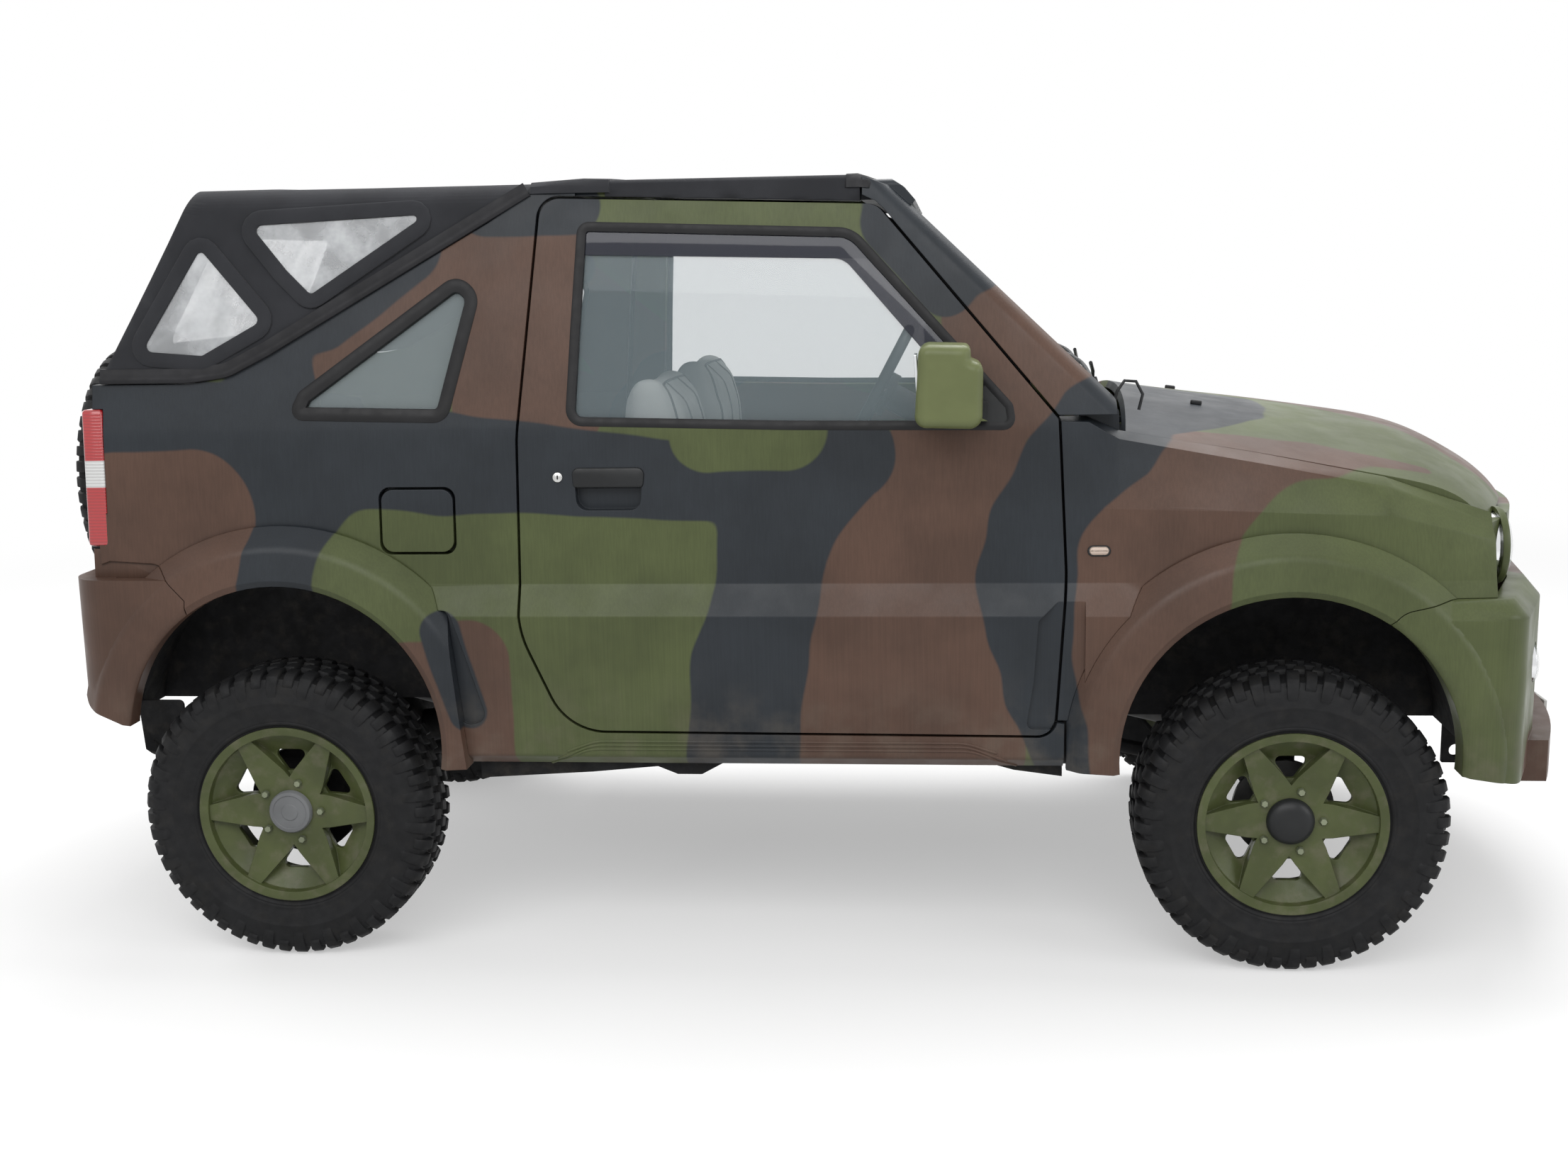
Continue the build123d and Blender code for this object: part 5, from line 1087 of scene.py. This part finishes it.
cloth = mergedBm("soft_top")
for turn in range(7):
    long = [e for e in cloth.edges if e.calc_length() > softTop["cell"] * 1.6]
    if not long:
        break
    bmesh.ops.subdivide_edges(cloth, edges=long, cuts=1, use_grid_fill=False)
    bmesh.ops.triangulate(cloth, faces=[f for f in cloth.faces if len(f.verts) > 3])
for vert in cloth.verts:
    p = vert.co
    x = p.x - rearAxleX
    ripple = noise.noise(Vector((x * 5, p.y * 9, p.z * 7)))
    ripple += 0.5 * noise.noise(Vector((x * 16, p.y * 5, p.z * 19 + 3)))
    if p.z > softTop["roofAbove"]:
        start, length = softTop["rearBay"]
        if x >= start + length:
            start, length = softTop["frontBay"]
        sag = bulge((x - start) / length) * max(0, 1 - (abs(p.y) / softTop["roofHalf"]) ** 4)
        p.z -= softTop["roofSag"] * sag - softTop["wrinkle"] * ripple * 1.2 * sag
    elif p.z > softTop["sidesAbove"]:
        height = bulge((p.z - softTop["sideSpan"][0]) / softTop["sideSpan"][1])
        inward = softTop["sideSag"] * height - softTop["wrinkle"] * ripple * height
        if x < -0.2 and abs(p.y) < 0.6:
            p.x += inward
        else:
            p.y -= math.copysign(inward, p.y)
keep(meshObject("softTopCloth", cloth, 40), "body", "topCloth", "top_fabric", ("soft_top",))
topWindows = (
    ((-296, 1386, 18), (-150, 1374, 18), (-10, 1450, 16), (-156, 1618, 14)),
    ((-46, 1664, 16), (375, 1682, 12), (98, 1503, 16), (40, 1560, 20)),
)
hem = (
    (-0.004, -0.004), (-0.003, 0.001), (0.001, 0.0025), (0.016, 0.003), (0.026, 0.0028), (0.029, 0.0005),
    (0.029, -0.006),
)
edging = (
    (0.006, -0.008), (0.006, 0.004), (0.001, 0.0075), (-0.006, 0.0075), (-0.010, 0.003), (-0.026, 0.002),
    (-0.028, -0.006),
)
lowerEdge = ((-386, 1324, 0), (-185, 1324, 100), (-92, 1335, 100), (2, 1382, 200), (494, 1662, 120), (592, 1718, 0))
for side, word in ((-1, "Right"), (1, "Left")):
    for k, rows in enumerate(topWindows):
        keep(band(f"windowHem{k}{word}", rows, hem, side, topWallY), "body", "topCloth", "top_fabric")
    keep(band("lowerHem" + word, lowerEdge, edging, side, topWallY, closed=False), "body", "topTrim", "top_fabric")


def roofStrap(name, stations, finish):
    # A band over the roof: stations are (x, corner rows across the roof, how far proud).
    bm = bmesh.new()
    rings = []
    for x, rows, proud in stations:
        loop = roundedLoop(rows, 0.004, False)
        lengths = [0.0]
        for a, b in zip(loop, loop[1:]):
            lengths.append(lengths[-1] + (b - a).length)
        ring = []
        for k in range(softTop["strapSteps"] + 1):
            goal = lengths[-1] * k / softTop["strapSteps"]
            n = next(i for i in range(1, len(loop)) if lengths[i] >= goal - 1e-9)
            spot = loop[n - 1].lerp(loop[n], (goal - lengths[n - 1]) / max(lengths[n] - lengths[n - 1], 1e-9))
            along = (loop[n] - loop[n - 1]).normalized()
            spot = spot + Vector((-along.y, along.x)) * proud
            ring.append(bm.verts.new((rearAxleX + x, spot.x, spot.y)))
        rings.append(ring)
    for a, b in zip(rings, rings[1:]):
        for k in range(softTop["strapSteps"]):
            bm.faces.new((a[k], a[k + 1], b[k + 1], b[k]))
    bmesh.ops.recalc_face_normals(bm, faces=bm.faces)
    keep(meshObject(name, bm, 40), "body", finish, "top_fabric")


rearSection = ((-630, 1716, 0), (-626, 1738, 20), (0, 1768, 3000), (626, 1738, 20), (630, 1716, 0))
roofSection = ((-628, 1716, 0), (-623, 1743, 14), (0, 1763, 3000), (623, 1743, 14), (628, 1716, 0))
headerSection = ((-630, 1714, 0), (-627, 1735, 14), (0, 1754, 3000), (627, 1735, 14), (630, 1714, 0))
roofStrap("hoopCover", (
    (0.592, rearSection, -0.004), (0.596, rearSection, 0.003), (0.64, rearSection, 0.0055),
    (0.71, roofSection, 0.005), (0.768, roofSection, 0.003), (0.772, roofSection, -0.003)), "topCloth")
roofStrap("headerCover", (
    (1.284, roofSection, -0.003), (1.288, roofSection, 0.0025), (1.312, roofSection, 0.003),
    (1.336, headerSection, 0.003), (1.341, headerSection, -0.003)), "topTrim")
rearWindow = ((-440, 1392, 40), (440, 1392, 40), (405, 1646, 40), (-405, 1646, 40))
keep(band("rearWindowHem", rearWindow, hem, 0), "body", "topCloth", "top_fabric")
keep(band("rearHem", ((-690, 1326, 0), (690, 1326, 0)), edging, 0, closed=False), "body", "topTrim", "top_fabric")
print("soft top made")


# Seats: padded shapes swollen by a short cloth simulation, with their seams laid on after
seating = {
    "voxel": 0.012, "pressure": 4.0, "frames": 20, "cap": 0.022, "fill": 0.7, "seam": 0.0032, "middleY": 0.36,
    "bevel": 0.022, "edgeSeam": 0.045, "innerSeam": 0.13, "benchSeams": (-0.17, 0.0, 0.17), "benchEdge": 0.04,
    "rail": (1.10, 0.662), "railYs": (0.19, 0.53), "railSize": (0.44, 0.035, 0.075),
}
padRows = {
    "cushion": (((905, 706, 30), (1335, 712, 30), (1350, 800, 40), (1285, 850, 50), (960, 812, 40)), (0.145, 0.575)),
    "back": (((862, 760, 40), (955, 775, 50), (905, 1010, 300), (896, 1180, 200), (858, 1318, 32), (792, 1318, 32),
              (784, 1180, 200), (798, 900, 100)), (0.145, 0.575)),
    "bench": (((78, 790, 20), (405, 790, 20), (405, 862, 30), (85, 878, 30)), (-0.495, 0.495)),
}


def applied(obj):
    # The object's evaluated mesh in place of its own, with the modifiers gone.
    bpy.context.view_layer.update()
    data = bpy.data.meshes.new_from_object(obj.evaluated_get(bpy.context.evaluated_depsgraph_get()))
    obj.modifiers.clear()
    obj.data = data
    return obj


def padMesh(name, rows, ySpan):
    loop = roundedLoop(rows, 0.03)
    bm = bmesh.new()
    rings = [[bm.verts.new((rearAxleX + p.x, y, p.y)) for p in loop] for y in ySpan]
    for k in range(len(loop)):
        n = (k + 1) % len(loop)
        bm.faces.new((rings[0][k], rings[0][n], rings[1][n], rings[1][k]))
    for ring in rings:
        bm.faces.new(ring)
    bmesh.ops.recalc_face_normals(bm, faces=bm.faces)
    sharp = [e for e in bm.edges if e.calc_face_angle(0) > 0.9]
    bmesh.ops.bevel(bm, geom=sharp, offset=seating["bevel"], segments=3, profile=0.5, affect="EDGES")
    obj = meshObject(name, bm, None)
    even = obj.modifiers.new("even", "REMESH")
    even.mode, even.voxel_size = "VOXEL", seating["voxel"]
    applied(obj)
    start = [v.co.copy() for v in obj.data.vertices]
    swell = obj.modifiers.new("swell", "CLOTH")
    swell.settings.use_pressure = True
    swell.settings.uniform_pressure_force = seating["pressure"]
    swell.settings.effector_weights.gravity = 0
    for step in range(1, seating["frames"] + 1):
        bpy.context.scene.frame_set(step)
    applied(obj)
    for vert, before in zip(obj.data.vertices, start):
        move = vert.co - before
        if move.length > seating["cap"]:
            vert.co = before + move.normalized() * seating["cap"]
    bpy.context.scene.frame_set(1)
    obj.modifiers.new("smoother", "SUBSURF").levels = 1
    obj.modifiers["smoother"].render_levels = 1
    applied(obj)
    obj.data.shade_smooth()
    return obj


def seamOn(pad, name, starts, direction):
    bm = bmesh.new()
    bm.from_mesh(pad.data)
    tree = BVHTree.FromBMesh(bm)
    bm.free()
    hits = [tree.ray_cast(Vector(start), Vector(direction))[0] for start in starts]
    points = [hit for hit in hits if hit]
    if len(points) > 3:
        tube(name, points, seating["seam"], "body", "seatSeam", "seat_fabric", 6)


def spacedLine(corners, step=0.012):
    points = []
    for a, b in zip(corners, corners[1:]):
        a, b = Vector(a), Vector(b)
        pieces = max(1, int((b - a).length / step))
        points += [a.lerp(b, k / pieces) for k in range(pieces)]
    return points + [Vector(corners[-1])]


for kind, (rows, span) in padRows.items():
    pad = padMesh("pad" + kind.title(), rows, span)
    keep(pad, "body", "seatCloth", "seat_fabric", ("seats",) if kind == "cushion" else ())
    hands = [(pad, 0.0)]
    if kind != "bench":
        toRight = -2 * seating["middleY"]
        other = bpy.data.objects.new("pad" + kind.title() + "Right", pad.data.copy())
        other.data.transform(Matrix.Translation((0, toRight, 0)))
        bpy.context.scene.collection.objects.link(other)
        keep(other, "body", "seatCloth", "seat_fabric")
        hands.append((other, toRight))
    for n, (piece, slide) in enumerate(hands):
        y0, y1 = span[0] + slide, span[1] + slide
        edge, inner = seating["edgeSeam"], seating["innerSeam"]
        across = (y0 + edge, y0 + inner, y1 - inner, y1 - edge)
        if kind == "back":
            ahead = (-1, 0, 0)
            lines = [[(0.2, y, 0.86), (0.2, y, 1.29)] for y in across]
            lines.append([(0.2, across[0], 1.29), (0.2, across[3], 1.29)])
            lines.append([(0.2, across[1], 1.12), (0.2, across[2], 1.12)])
        else:
            ahead = (0, 0, -1)
            if kind == "bench":
                across = (y0 + seating["benchEdge"], *seating["benchSeams"], y1 - seating["benchEdge"])
            ends = (rearAxleX + rows[0][0] / 1000 + 0.08, rearAxleX + rows[1][0] / 1000 - 0.04)
            lines = [[(ends[0], y, 1.2), (ends[1], y, 1.2)] for y in across]
            lines += [[(x, across[0], 1.2), (x, across[-1], 1.2)] for x in ends]
        for k, line in enumerate(lines):
            seamOn(piece, f"seam{kind.title()}{n}{k}", spacedLine(line), ahead)
for side, hand in ((-1, "Right"), (1, "Left")):
    for k, y in enumerate(seating["railYs"]):
        centre = (seating["rail"][0], side * y, seating["rail"][1])
        slopedBox(f"seatRail{hand}{k}", centre, seating["railSize"], 0, "body", "blackPlastic")
print("seats made")


# Floor, light and camera
studio = {"floorPale": 0.6, "floorLift": 0.42, "nearRadius": 3.0, "farRadius": 7.5, "sky": 0.42}
lamps = {  # place, target, size, power
    "key": ((-0.6, -5.2, 4.5), (0, -0.7, 0.85), (7.0, 3.0), 210),
    "top": ((0.3, 1.6, 5.5), (0, 0, 1.0), (5.0, 4.0), 300),
    "fill": ((6.0, -3.0, 2.8), (0.8, 0, 0.8), (3.0, 3.0), 80),
    "back": ((-6.0, 2.0, 3.5), (-0.8, 0, 0.8), (3.0, 3.0), 80),
}


def seenRays(tree):
    # 1 for what the camera sees, directly or in gloss or glass.
    ray = put(tree, "ShaderNodeLightPath").outputs
    through = calc(tree, "MAXIMUM", ray["Is Glossy Ray"], ray["Is Transmission Ray"])
    return calc(tree, "MAXIMUM", ray["Is Camera Ray"], through)


floorBm = bmesh.new()
bmesh.ops.create_grid(floorBm, x_segments=1, y_segments=1, size=40)
floor = meshObject("floor", floorBm, None)
floorMaterial = bpy.data.materials.new("floorFinish")
floorMaterial.use_nodes = True
floorTree = floorMaterial.node_tree
floorTree.nodes.clear()
reach = put(floorTree, "ShaderNodeVectorMath", {0: objectPlace(floorTree)}, operation="LENGTH").outputs["Value"]
far = spread(floorTree, reach, studio["nearRadius"], studio["farRadius"])
seen = seenRays(floorTree)
fade = calc(floorTree, "MULTIPLY", far, seen)
pale = calc(floorTree, "MULTIPLY", calc(floorTree, "SUBTRACT", 1.0, fade), studio["floorPale"])
lift = calc(floorTree, "MULTIPLY", seen, spread(floorTree, far, 0.0, 1.0, studio["floorLift"], 1.0, False))
colour = put(floorTree, "ShaderNodeCombineXYZ", {"X": pale, "Y": pale, "Z": pale}).outputs[0]
matte = put(floorTree, "ShaderNodeBsdfDiffuse", {"Color": colour}).outputs[0]
glow = put(floorTree, "ShaderNodeEmission", {"Strength": lift}).outputs[0]
both = put(floorTree, "ShaderNodeAddShader", {0: matte, 1: glow}).outputs[0]
put(floorTree, "ShaderNodeOutputMaterial", {"Surface": both})
floor.data.materials.append(floorMaterial)

world = bpy.data.worlds.new("studio")
bpy.context.scene.world = world
world.use_nodes = True
sky = world.node_tree
background = sky.nodes["Background"]
strength = calc(sky, "MULTIPLY_ADD", seenRays(sky), 1.0 - studio["sky"], studio["sky"])
sky.links.new(strength, background.inputs["Strength"])
background.inputs["Color"].default_value = (1, 1, 1, 1)
for name, (place, target, size, power) in lamps.items():
    data = bpy.data.lights.new(name, "AREA")
    data.shape = "RECTANGLE"
    data.size, data.size_y = size
    data.energy = power
    lamp = bpy.data.objects.new(name, data)
    lamp.location = place
    lamp.rotation_euler = (Vector(target) - Vector(place)).to_track_quat("-Z", "Y").to_euler()
    bpy.context.scene.collection.objects.link(lamp)

# The photo's own angle
camera = {
    "place": (0.35824, -4.54024, 1.56016), "yaw": -0.0926, "pitch": -0.1819, "roll": -0.01836, "lens": 40.69,
    "sensor": 36,
}
yaw, pitch = camera["yaw"], camera["pitch"]
ahead = Vector((math.sin(yaw) * math.cos(pitch), math.cos(yaw) * math.cos(pitch), math.sin(pitch)))
rightward = Vector((math.cos(yaw), -math.sin(yaw), 0))
upward = rightward.cross(ahead)
cosRoll, sinRoll = math.cos(camera["roll"]), math.sin(camera["roll"])
rightward, upward = rightward * cosRoll + upward * sinRoll, upward * cosRoll - rightward * sinRoll
cameraData = bpy.data.cameras.new("photoCamera")
cameraData.lens, cameraData.sensor_width = camera["lens"], camera["sensor"]
photoCamera = bpy.data.objects.new("photoCamera", cameraData)
turned = Matrix((rightward, upward, -ahead)).transposed().to_4x4()
photoCamera.matrix_world = Matrix.Translation(camera["place"]) @ turned
bpy.context.scene.collection.objects.link(photoCamera)
bpy.context.scene.camera = photoCamera
bpy.context.scene.view_settings.view_transform = "Standard"

print("all pieces in place")
